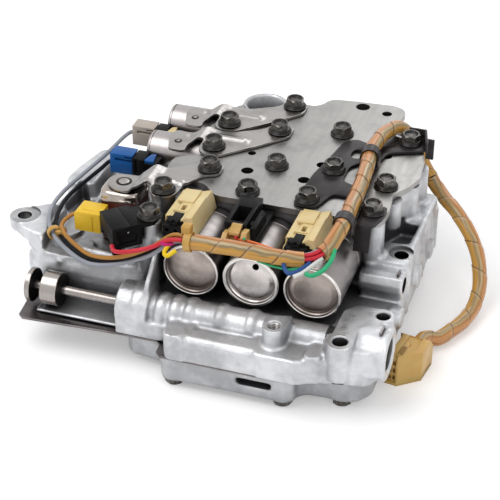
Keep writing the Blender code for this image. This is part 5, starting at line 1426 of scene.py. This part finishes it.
def build_sensor():
    """A black block turned towards its bolt, with an eye, a terminal and a boot below."""
    turned = Matrix.Rotation(SENSOR_TURN, 4, "Z")
    bolt = node_middle("bolt_08")
    low, high = node_box("oil_temperature_sensor")
    place = Matrix.Translation(Vector((bolt.x, bolt.y, 0)) - turned @ SENSOR_EYE) @ turned
    body = block((-8.2, -11, low.z), (9.0, 11, high.z))
    tab = prism([(4, -11), (17, -11), (22, -6.5), (23, -1), (22, 5), (17, 9), (4, 9)],
                high.z - 2.8, high.z - 0.2)
    cuts = [
        block((2.6, -12, high.z - 0.35), (3.0, 12, high.z + 1)),
        block((-6.0, -12, low.z + 2.0), (-3.6, -9.4, high.z - 2.0)),
        block((-3.0, -12, low.z + 2.6), (6.0, -9.6, high.z - 5.4)),
        upright(SENSOR_EYE.xy, 3.3, high.z - 6, high.z + 3, 32),
        block((-9, -9, low.z - 1), (-6.6, 9, low.z + 3)),
    ]
    mesh = softened(shaped(body, add=[tab], cut=cuts), 0.4, 2)
    mesh.transform(place)
    piece("sensor_body", mesh, "black_nylon", stands_for="oil_temperature_sensor")
    dot = drum((0.8, -10.6, high.z - 3.6), (0.8, -11.15, high.z - 3.6), 0.55, sides=16)
    dot.transform(place)
    piece("sensor_terminal", dot, "can_lip")
    boot = capsule((-5.4, -8.0, low.z - 3.5), (-5.4, -8.0, low.z + 3.0), 2.9)
    boot.transform(place)
    piece("sensor_boot", boot, "black_nylon")


# Dark brackets

def clip_band(place, direction, floor):
    """A thin strap round the harness, with its two ends bent down to the bracket."""
    width = 7.0
    start = Vector(place) - Vector(direction).normalized() * width / 2
    profile = [(4.85, 0.1), (5.0, 0), (5.5, 0), (5.65, 0.15), (5.65, width - 0.15),
               (5.5, width), (5.0, width), (4.85, width - 0.1), (4.85, 0.1)]
    band = lathe(profile, start, direction, 48)
    x, y, z = place
    ends = [softened(block((x + side - 0.4, y - 3.2, floor), (x + side + 0.4, y + 3.2, z)), 0.2)
            for side in (-5.2, 5.2)]
    return joined(band, *ends)


def build_dark_brackets():
    """The harness bracket with its clips and tabs, and the side bracket with its leg."""
    foot = node_box("side_bracket")[0].z
    base = node_box("hold_down_one")[0].z
    top = base + BRACKET_SHEET
    oval = superellipse((42.6, 18.4), 3.6, 5.4, 2.4, 28)
    sheet = sheet_mesh(rounded(HARNESS_BRACKET, 4.0), base, top, holes=[oval])
    upright_wall = prism(rounded([(66.5, 49.4), (66.5, 50.9), (77.2, 50.9), (81.4, 34.5),
                                  (79.9, 34.1), (76, 49.4)], 0.8), base + 0.3, top + 5.6)
    hanging = block((77.4, 49.2, base - 12.4), (82.4, 50.8, top - 0.4))
    clips = [clip_band((57.35, -66.0, CLIP_Z - 0.2), (-0.02, 1, 0.02), top - 0.6),
             clip_band((52.5, 9.5, CLIP_Z), (-0.13, 1, 0), top - 0.6)]
    parts = [sheet, softened(upright_wall, 0.3), softened(hanging, 0.35), *clips]
    piece("harness_bracket_sheet", joined(*parts), "dark_sheet",
          stands_for="harness_bracket", angle=40)
    plate = sheet_mesh(rounded(SIDE_BRACKET, 2.2), base, top)
    leg = prism([(-55.6, top - 0.1), (-57.2, top - 0.1), (-58.4, top - 2.2), (-62.2, foot),
                 (-60.6, foot), (-56.8, base - 0.6)], 61.8, 71.0, "X")
    piece("side_bracket_sheet", joined(plate, softened(leg, 0.4)), "dark_sheet",
          stands_for="side_bracket", angle=40)


# Valves and springs

DISC, ROD, LAND, GROOVE = 10.0, 2.75, 6.0, 3.5
MANUAL_SECTIONS = [(DISC, 3.0), (ROD, 6.5), (DISC, 10.0), (ROD, 41.0), (LAND, 12.0),
                   (GROOVE, 12.0), (LAND, 14.0), (GROOVE, 12.0), (LAND, 15.0)]


def build_valves():
    """The manual valve, turned in one piece, and the two sprung valves."""
    start = (node_box("manual_valve")[0].x, SPOOL_Y, SPOOL_Z)
    profile, run = [(0, 0)], 0.0
    for radius, step in MANUAL_SECTIONS:
        edge = 0.35 if radius > 5 else 0.1
        profile += [(radius - edge, run), (radius, run + edge), (radius, run + step - edge),
                    (radius - edge, run + step)]
        run += step
    profile.append((0, run))
    mesh = lathe(profile, start, (1, 0, 0), 96)
    painted(mesh, 0)
    # End faces of the discs at the left end take the near-black bore finish: painted shade in the
    # gaps.
    painted(mesh, 1, lambda centre, normal: normal.x > 0.8 and centre.x < -80)
    painted(mesh, 1, lambda centre, normal: normal.x < -0.8 and -112 < centre.x < -100)
    piece("manual_valve_spool", mesh, ["valve_steel", "bore_steel"], body="manual_spool",
          stands_for="manual_valve")
    for name in ("regulator_valve", "shift_valve"):
        dress(name, "valve_steel", 0.2)


def build_springs():
    """The two valve springs."""
    for name in ("regulator", "shift"):
        coil = piece(f"{name}_spring_coil", cad_mesh(f"{name}_spring"), "thread_steel",
                     stands_for=f"{name}_spring", angle=60)
        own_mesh(coil)


# Wiring

CLIP_Z = 89.85
HARNESS_ROUTE = [
    (-21, -104, 84.5), (-6, -103.6, 85), (12, -103, 85), (30, -102, 84), (46, -98, 83),
    (54, -88, 84.5), (57.2, -75, CLIP_Z - 0.6), (57.5, -62, CLIP_Z), (57, -48, CLIP_Z),
    (56.3, -30, CLIP_Z), (54.5, -8, CLIP_Z), (52, 13, CLIP_Z), (52.3, 26, CLIP_Z),
    (53.6, 37, CLIP_Z - 0.4), (56, 45.5, CLIP_Z - 1.2), (59.5, 51.5, 87.4), (63, 56.5, 83),
    (66.5, 60, 76), (70.5, 61.5, 67.5), (75.2, 60.1, 59.3), (78.1, 58.1, 56.4), (81, 56.1, 53.5),
]
TAIL_ROUTE = [
    (81.25, 55.93, 53.25), (83.5, 54.4, 51), (87.5, 50.8, 48.5), (94, 44, 46.3), (99.8, 38, 45),
    (105.5, 32.5, 42.4), (111.2, 27, 38.4), (116.2, 22, 33.4), (120.4, 16.5, 26.8), (123.4, 10, 19),
    (124.6, 2, 11.5), (123.6, -8, 7.2), (120.5, -21, 6), (111.4, -40.4, 5.8), (105.6, -46, 8),
    (103.05, -50.5, 9.7), (101.99, -57.84, 10),
]
LEAD_ROUTES = {
    "grey": [
        (-105, 26, 69), (-107, 25, 68.7), (-109.5, 19, 67.5), (-113, 2, 65), (-118, -16, 62.5),
        (-123.4, -39, 60), (-122.9, -59, 59.5), (-117, -75, 58), (-104.7, -88, 56),
        (-83, -101.5, 56), (-63.8, -104.5, 60.5), (-43, -104.5, 70.5), (-29, -105, 82.5),
        (-21.6, -104.4, 84.6),
    ],
    "black": [
        (-105, -9, 67), (-107, -10, 66.5), (-109.5, -14.5, 64.4), (-114, -24, 61.5),
        (-119.5, -40, 58.5), (-118.7, -57, 58.2), (-114.2, -72, 57.4), (-103, -85.6, 56.6),
        (-82.4, -99.2, 57.2), (-63.4, -103.2, 62.4), (-43, -103.4, 72.2), (-29, -103.0, 81.8),
        (-21.6, -102.2, 82.4),
    ],
    "orange": [
        (-100.4, -70, 66), (-104, -71, 65.5), (-108, -75, 62), (-106, -81, 60.5), (-97, -88, 58.5),
        (-80, -99, 59.5), (-60, -104.5, 66.2), (-42, -104.5, 76), (-29, -103.5, 86.3),
        (-21.6, -103.9, 87.2),
    ],
    "red": [
        (-65, -103.5, 72), (-61, -108.4, 72.2), (-52, -110, 75), (-40, -108.3, 79),
        (-30, -106.9, 85), (-21.6, -106.6, 86.6),
    ],
}
# Where the wrap is open, as lengths along the harness, and the wires that show there
WRAP_GAP = (66.0, 76.0)
BUNDLE = [("red_lead", 0.0, 2.6), ("red_lead", 2.2, 1.3), ("grey_lead", -2.3, 1.3),
          ("black_lead", 1.6, -1.6), ("golden_lead", -1.4, -2.4), ("grey_lead", 0.0, 0.0)]
LOOPS = {
    "blue": [(34.5, -100.5, 83), (35.8, -106.5, 82), (39.5, -110.0, 80.5), (44.5, -107.5, 81.5),
             (48.5, -100.5, 83)],
    "white": [(42.5, -111.0, 79.5), (46.0, -107.5, 80.5), (50.0, -101.5, 82), (53.5, -95, 83.5)],
    "green": [(48.0, -107.0, 80), (52.0, -107.5, 80), (56.5, -103.0, 81.5), (58.8, -95.5, 83.5),
              (58.5, -88.0, 85.5)],
    "thin_green": [(20, -103.6, 80.2), (30, -104.2, 79.0), (39, -104.0, 79.0), (44, -102, 80.5)],
    "vermilion": [(4, -90.5, 82), (9, -94.5, 85.5), (18, -98.5, 87.6), (28, -100.5, 87.4)],
    "golden": [(-26.0, -101.5, 84), (-29.0, -105.5, 82.5), (-30.5, -111.0, 80),
               (-28.0, -113.5, 79.5), (-24.0, -110.5, 82)],
    "magenta": [(-33.5, -108.0, 83.5), (-30.0, -107.5, 82.5), (-27.0, -104.5, 83)],
    "middle_red": [(4.5, -88.0, 80), (3.8, -92.0, 84.5), (5.5, -97.5, 88.4)],
    "middle_green": [(8.0, -88.0, 80), (8.5, -92.5, 84.8), (10.5, -97.5, 88.4)],
}
THIN_LOOPS = ("thin_green", "vermilion", "middle_red", "middle_green")
LOOP_TONES = {"thin_green": "green_lead", "middle_red": "red_lead", "middle_green": "green_lead"}


def wound(settings):
    """The radius of a wrap whose turns overlap by a small step."""
    def radius(run, turn):
        phase = (run / settings.pitch - turn) % 1.0
        return settings.radius - 0.12 - 0.42 * phase
    return radius


def part_of(path, first, last):
    """The stretch of a path between two lengths along it."""
    run, kept = 0.0, []
    for index, place in enumerate(path):
        if index:
            run += (place - path[index - 1]).length
        if first <= run <= last:
            kept.append(place)
    return kept


def beside(path, across, above):
    """A path that keeps its distance to another, across and above."""
    return [place + side * across + up * above
            for place, (side, up) in zip(path, frames_along(path))]


def build_harness(settings):
    """The wrapped harness in two stretches, the bare wires between them and the loose loops."""
    path = evenly(smooth_path(HARNESS_ROUTE, 8), 0.5)
    total = 0.5 * (len(path) - 1)
    first = sweep(part_of(path, 0, WRAP_GAP[0]), wound(settings), 44)
    second = sweep(part_of(path, WRAP_GAP[1], total + 1), wound(settings), 44)
    piece("harness_wrap", first, "amber_wrap", stands_for="harness", angle=60)
    piece("harness_wrap_rear", second, "amber_wrap", angle=60)
    bare = part_of(path, WRAP_GAP[0] - 6, WRAP_GAP[1] + 6)
    for index, (tone, across, above) in enumerate(BUNDLE):
        wire = sweep(beside(bare[::3], across, above), settings.lead_radius - 0.05, 12)
        piece(f"bare_wire_{index}", wire, tone)
    for name, route in LOOPS.items():
        tone = LOOP_TONES.get(name, f"{name}_lead")
        thin = 0.6 if name in THIN_LOOPS else 1.0
        wire = sweep(evenly(smooth_path(route, 8), 0.8), settings.lead_radius * thin, 12)
        piece(f"{name}_loop", wire, tone)


def build_leads(settings):
    """The four single leads."""
    for tone, route in LEAD_ROUTES.items():
        wire = sweep(evenly(smooth_path(route, 8), 0.9), settings.lead_radius, 16)
        piece(f"{tone}_lead_wire", wire, f"{tone}_lead", stands_for=f"{tone}_lead")


def tie(place, direction, radius, width, head):
    """A strap round a bundle, with its cube head."""
    start = Vector(place) - Vector(direction).normalized() * width / 2
    profile = [(radius, 0), (radius + 0.25, -0.05), (radius + 0.9, 0.2),
               (radius + 0.9, width - 0.2), (radius + 0.25, width + 0.05), (radius, width),
               (radius, 0)]
    band = lathe(profile, start, direction, 40)
    cube = softened(block((-2.6, -2.9, 0), (2.6, 2.9, 5.2)), 0.7, 3)
    cube.transform(Matrix.Translation(Vector(place) + Vector(head)))
    return joined(band, cube)


def build_ties():
    """One tie where the harness starts and one round the leads."""
    first = tie((-19, -104, 84.6), (1, 0.03, 0.03), 4.75, 4.2, (-1.5, 2.0, 4.2))
    piece("harness_tie", first, "amber_tie")
    second = tie((-111.5, -80.8, 57.6), (0.62, -0.75, -0.05), 3.2, 3.2, (3.6, 1.5, -3.0))
    piece("lead_tie", second, "amber_tie")


CONNECTOR_TURN = 8.0


def connector_mesh():
    """A tall connector with a slanting face, a latch, and cells in its mouth."""
    half = Vector((9.0, 14.0))
    plan = [(-half.x, half.y), (half.x, half.y), (half.x, -3.0), (-1.5, -half.y),
            (-half.x, -half.y)]
    body = prism(plan, 0, 20)
    cuts = [
        block((-half.x + 1.2, -half.y - 2, 1.8), (-2.6, -half.y + 3.0, 18.2)),
        prism([(-half.y - 1, 21), (-half.y + 5, 21), (-half.y - 1, 16)], -12, -2, "X"),
        prism([(half.y + 1, 21), (half.y - 6, 21), (half.y + 1, 13)], -12, 12, "X"),
        block((-half.x - 1, -6, 15.5), (-half.x + 1.6, 9, 21)),
        block((-3.5, -2, 18.9), (4.5, 9, 21)),
    ]
    rim = prism([(half.x - 0.4, -3.4), (half.x, -2.4), (half.x, 12), (half.x - 1.2, 12),
                 (-1.3, -half.y + 0.4), (-1.9, -half.y)], 0.4, 3.6)
    latch = block((-4, -half.y + 3, 19), (0, half.y - 12, 20))
    shell = softened(shaped(body, cut=cuts), 0.6, 3)
    insert = block((-half.x + 1.6, -half.y + 1.2, 1.6), (-2.4, -half.y + 6.0, 18.4))
    places = [(x, z) for x in (-6.4, -3.8) for z in (4.6, 9.6, 14.6)]
    cells = [block((x - 0.95, -half.y - 1, z - 1.5), (x + 0.95, -half.y + 5, z + 1.5))
             for x, z in places]
    # Near-black blocks at the back of the cells: painted shade.
    floors = [block((x - 1.0, -half.y + 4.4, z - 1.6), (x + 1.0, -half.y + 5.2, z + 1.6))
              for x, z in places]
    core = shaped(insert, cut=cells)
    return joined(painted(shell, 0), painted(core, 0), painted(softened(latch, 0.3), 0),
                  painted(softened(rim, 0.3), 0), painted(joined(*floors), 1))


def build_tail(settings):
    """The loose tail of the harness and the connector on its end."""
    path = evenly(smooth_path(TAIL_ROUTE, 8), 0.5)
    tail = piece("tail_wrap", sweep(path, wound(settings), 44), "tail_wrap",
                 stands_for="harness_tail", angle=60)
    middle = node_middle("tail_connector")
    mesh = moved(connector_mesh(), middle.x, middle.y, 0, -CONNECTOR_TURN)
    connector = piece("tail_connector_body", mesh, ["connector_nylon", "bore_steel"],
                      stands_for="tail_connector")


# Stage

CAMERA_PLACE = (0.253368, -0.716983, 0.529196)
CAMERA_TURN = (56.5, 0.0, 18.5)
CAMERA_LENS = 108.0
SENSOR_WIDTH = 36.0
FLOOR_GLOW = 0.33


def build_camera():
    """The camera of the photograph."""
    data = bpy.data.cameras.new("photo_camera")
    data.lens = CAMERA_LENS
    data.sensor_width = SENSOR_WIDTH
    camera = bpy.data.objects.new("photo_camera", data)
    camera.location = CAMERA_PLACE
    camera.rotation_euler = [radians(angle) for angle in CAMERA_TURN]
    bpy.context.scene.collection.objects.link(camera)
    bpy.context.scene.camera = camera


def build_lamp(name, place, target, power, size):
    """A round area lamp at a place, turned towards a target."""
    data = bpy.data.lights.new(name, "AREA")
    data.shape = "DISK"
    data.energy = power
    data.size = size
    lamp = bpy.data.objects.new(name, data)
    lamp.location = place
    lamp.rotation_euler = (Vector(target) - Vector(place)).to_track_quat("-Z", "Y").to_euler()
    bpy.context.scene.collection.objects.link(lamp)


def seen_rays(nodes):
    """One for rays that see the background, straight, in a reflection or through glass."""
    rays = nodes.add("LightPath").outputs
    seen = nodes.math("MAXIMUM", rays["Is Camera Ray"], rays["Is Glossy Ray"])
    return nodes.math("MAXIMUM", seen, rays["Is Transmission Ray"])


def build_world(strength):
    """Plain light from all round, behind which the background is white."""
    world = bpy.data.worlds.new("studio")
    bpy.context.scene.world = world
    world.use_nodes = True
    nodes = Nodes(world.node_tree)
    background = world.node_tree.nodes["Background"]
    power = nodes.math("ADD", strength, nodes.math("MULTIPLY", seen_rays(nodes), 1.0 - strength))
    nodes.put(background.inputs["Color"], (1.0, 1.0, 1.0))
    nodes.put(background.inputs["Strength"], power)


def build_floor(tone):
    """A pale paper floor that takes the shadow."""
    form = bmesh.new()
    bmesh.ops.create_grid(form, x_segments=4, y_segments=4, size=4.0)
    floor = bpy.data.objects.new("studio_floor", mesh_from(form, "studio_floor"))
    bpy.context.scene.collection.objects.link(floor)
    material = bpy.data.materials.new("studio_paper")
    material.use_nodes = True
    nodes = Nodes(material.node_tree)
    shader = material.node_tree.nodes["Principled BSDF"]
    grain = nodes.noise(nodes.place(), 300.0)
    pale = tuple(min(1.0, part * 1.02) for part in tone)
    shade = nodes.mix(nodes.span(grain, 0.3, 0.7), tone, pale)
    nodes.put(shader.inputs["Base Color"], shade)
    nodes.put(shader.inputs["Roughness"], 0.9)
    nodes.put(shader.inputs["Specular IOR Level"], 0.1)
    nodes.put(shader.inputs["Emission Color"], (1.0, 1.0, 1.0))
    glow = nodes.math("MULTIPLY", seen_rays(nodes), FLOOR_GLOW)
    nodes.put(shader.inputs["Emission Strength"], glow)
    floor.data.materials.append(material)


def build_stage(settings):
    """The colour view, the camera, the world, the floor and three lamps."""
    bpy.context.scene.view_settings.view_transform = "Standard"
    build_camera()
    build_world(settings.sky)
    build_floor(tuple(settings.floor))
    build_lamp("key_light", (-0.45, -0.35, 1.15), (0.0, 0.0, 0.03), settings.key, 1.0)
    build_lamp("fill_light", (0.8, -0.5, 0.7), (0.0, 0.0, 0.03), settings.fill, 0.8)
    build_lamp("back_light", (0.1, 0.9, 0.8), (0.0, 0.0, 0.05), settings.fill, 0.6)


# Operators and panel

class VALVEBODY_OT_stage(bpy.types.Operator):
    """Add the camera, the lights and the floor"""

    bl_idname = "valve_body.build_stage"
    bl_label = "Build stage"
    bl_options = {"REGISTER", "UNDO"}

    def execute(self, context):
        build_stage(context.scene.valve_body_stage)
        return {"FINISHED"}


class VALVEBODY_OT_materials(bpy.types.Operator):
    """Make every finish and shared effect"""

    bl_idname = "valve_body.build_materials"
    bl_label = "Build materials"
    bl_options = {"REGISTER", "UNDO"}

    def execute(self, context):
        make_materials(context.scene.valve_body_castings)
        return {"FINISHED"}


class VALVEBODY_OT_wiring(bpy.types.Operator):
    """Add the harness, its tail, leads and ties"""

    bl_idname = "valve_body.build_wiring"
    bl_label = "Build wiring"
    bl_options = {"REGISTER", "UNDO"}

    def execute(self, context):
        build_tail(context.scene.valve_body_harness)
        build_harness(context.scene.valve_body_harness)
        build_leads(context.scene.valve_body_harness)
        build_ties()
        return {"FINISHED"}


class VALVEBODY_OT_castings(bpy.types.Operator):
    """Add the two castings and what is screwed into them"""

    bl_idname = "valve_body.build_castings"
    bl_label = "Build castings"
    bl_options = {"REGISTER", "UNDO"}

    def execute(self, context):
        build_main_casting(context.scene.valve_body_castings)
        build_lower_casting(context.scene.valve_body_castings)
        build_casting_details()
        return {"FINISHED"}


class VALVEBODY_OT_sheets(bpy.types.Operator):
    """Finish the plates and press the brackets"""

    bl_idname = "valve_body.build_sheets"
    bl_label = "Build sheets"
    bl_options = {"REGISTER", "UNDO"}

    def execute(self, context):
        build_plates()
        build_hold_downs()
        build_dark_brackets()
        return {"FINISHED"}


class VALVEBODY_OT_bolts(bpy.types.Operator):
    """Add the flange bolts and the bolt heads below"""

    bl_idname = "valve_body.build_bolts"
    bl_label = "Build bolts"
    bl_options = {"REGISTER", "UNDO"}

    def execute(self, context):
        build_bolts(context.scene.valve_body_bolts)
        return {"FINISHED"}


class VALVEBODY_OT_linear_solenoids(bpy.types.Operator):
    """Add the three cans at the front"""

    bl_idname = "valve_body.build_linear_solenoids"
    bl_label = "Build linear solenoids"
    bl_options = {"REGISTER", "UNDO"}

    def execute(self, context):
        build_linear_solenoids(context.scene.valve_body_solenoids)
        return {"FINISHED"}


class VALVEBODY_OT_connectors(bpy.types.Operator):
    """Add the housings and plugs on the cans"""

    bl_idname = "valve_body.build_connectors"
    bl_label = "Build connectors"
    bl_options = {"REGISTER", "UNDO"}

    def execute(self, context):
        build_housings()
        return {"FINISHED"}


class VALVEBODY_OT_shift_solenoids(bpy.types.Operator):
    """Add the three shift solenoids and the sensor"""

    bl_idname = "valve_body.build_shift_solenoids"
    bl_label = "Build shift solenoids"
    bl_options = {"REGISTER", "UNDO"}

    def execute(self, context):
        build_shift_solenoids()
        build_third_solenoid()
        build_sensor()
        return {"FINISHED"}


class VALVEBODY_OT_valves(bpy.types.Operator):
    """Add the three valves and the two springs"""

    bl_idname = "valve_body.build_valves"
    bl_label = "Build valves"
    bl_options = {"REGISTER", "UNDO"}

    def execute(self, context):
        build_valves()
        build_springs()
        return {"FINISHED"}


OPERATORS = [
    VALVEBODY_OT_stage, VALVEBODY_OT_materials, VALVEBODY_OT_wiring, VALVEBODY_OT_castings,
    VALVEBODY_OT_sheets, VALVEBODY_OT_bolts, VALVEBODY_OT_linear_solenoids,
    VALVEBODY_OT_connectors, VALVEBODY_OT_shift_solenoids, VALVEBODY_OT_valves,
]


class VALVEBODY_PT_panel(bpy.types.Panel):
    """Lists the steps that build the valve body."""

    bl_label = "Valve body"
    bl_idname = "VALVEBODY_PT_panel"
    bl_space_type = "VIEW_3D"
    bl_region_type = "UI"
    bl_category = "Valve body"

    def draw(self, context):
        for operator in OPERATORS:
            self.layout.operator(operator.bl_idname)
        for group, settings in SETTINGS.items():
            box = self.layout.box()
            for key in settings.__annotations__:
                box.prop(getattr(context.scene, group), key)


def register():
    for settings in SETTINGS.values():
        bpy.utils.register_class(settings)
    for group, settings in SETTINGS.items():
        setattr(bpy.types.Scene, group, bpy.props.PointerProperty(type=settings))
    for operator in OPERATORS:
        bpy.utils.register_class(operator)
    bpy.utils.register_class(VALVEBODY_PT_panel)


def unregister():
    bpy.utils.unregister_class(VALVEBODY_PT_panel)
    for operator in reversed(OPERATORS):
        bpy.utils.unregister_class(operator)
    for group in SETTINGS:
        delattr(bpy.types.Scene, group)
    for settings in reversed(SETTINGS.values()):
        bpy.utils.unregister_class(settings)


def main():
    register()
    bpy.ops.valve_body.build_stage()
    bpy.ops.valve_body.build_materials()
    bpy.ops.valve_body.build_wiring()
    bpy.ops.valve_body.build_castings()
    bpy.ops.valve_body.build_sheets()
    bpy.ops.valve_body.build_bolts()
    bpy.ops.valve_body.build_linear_solenoids()
    bpy.ops.valve_body.build_connectors()
    bpy.ops.valve_body.build_shift_solenoids()
    bpy.ops.valve_body.build_valves()


if __name__ == "__main__":
    main()
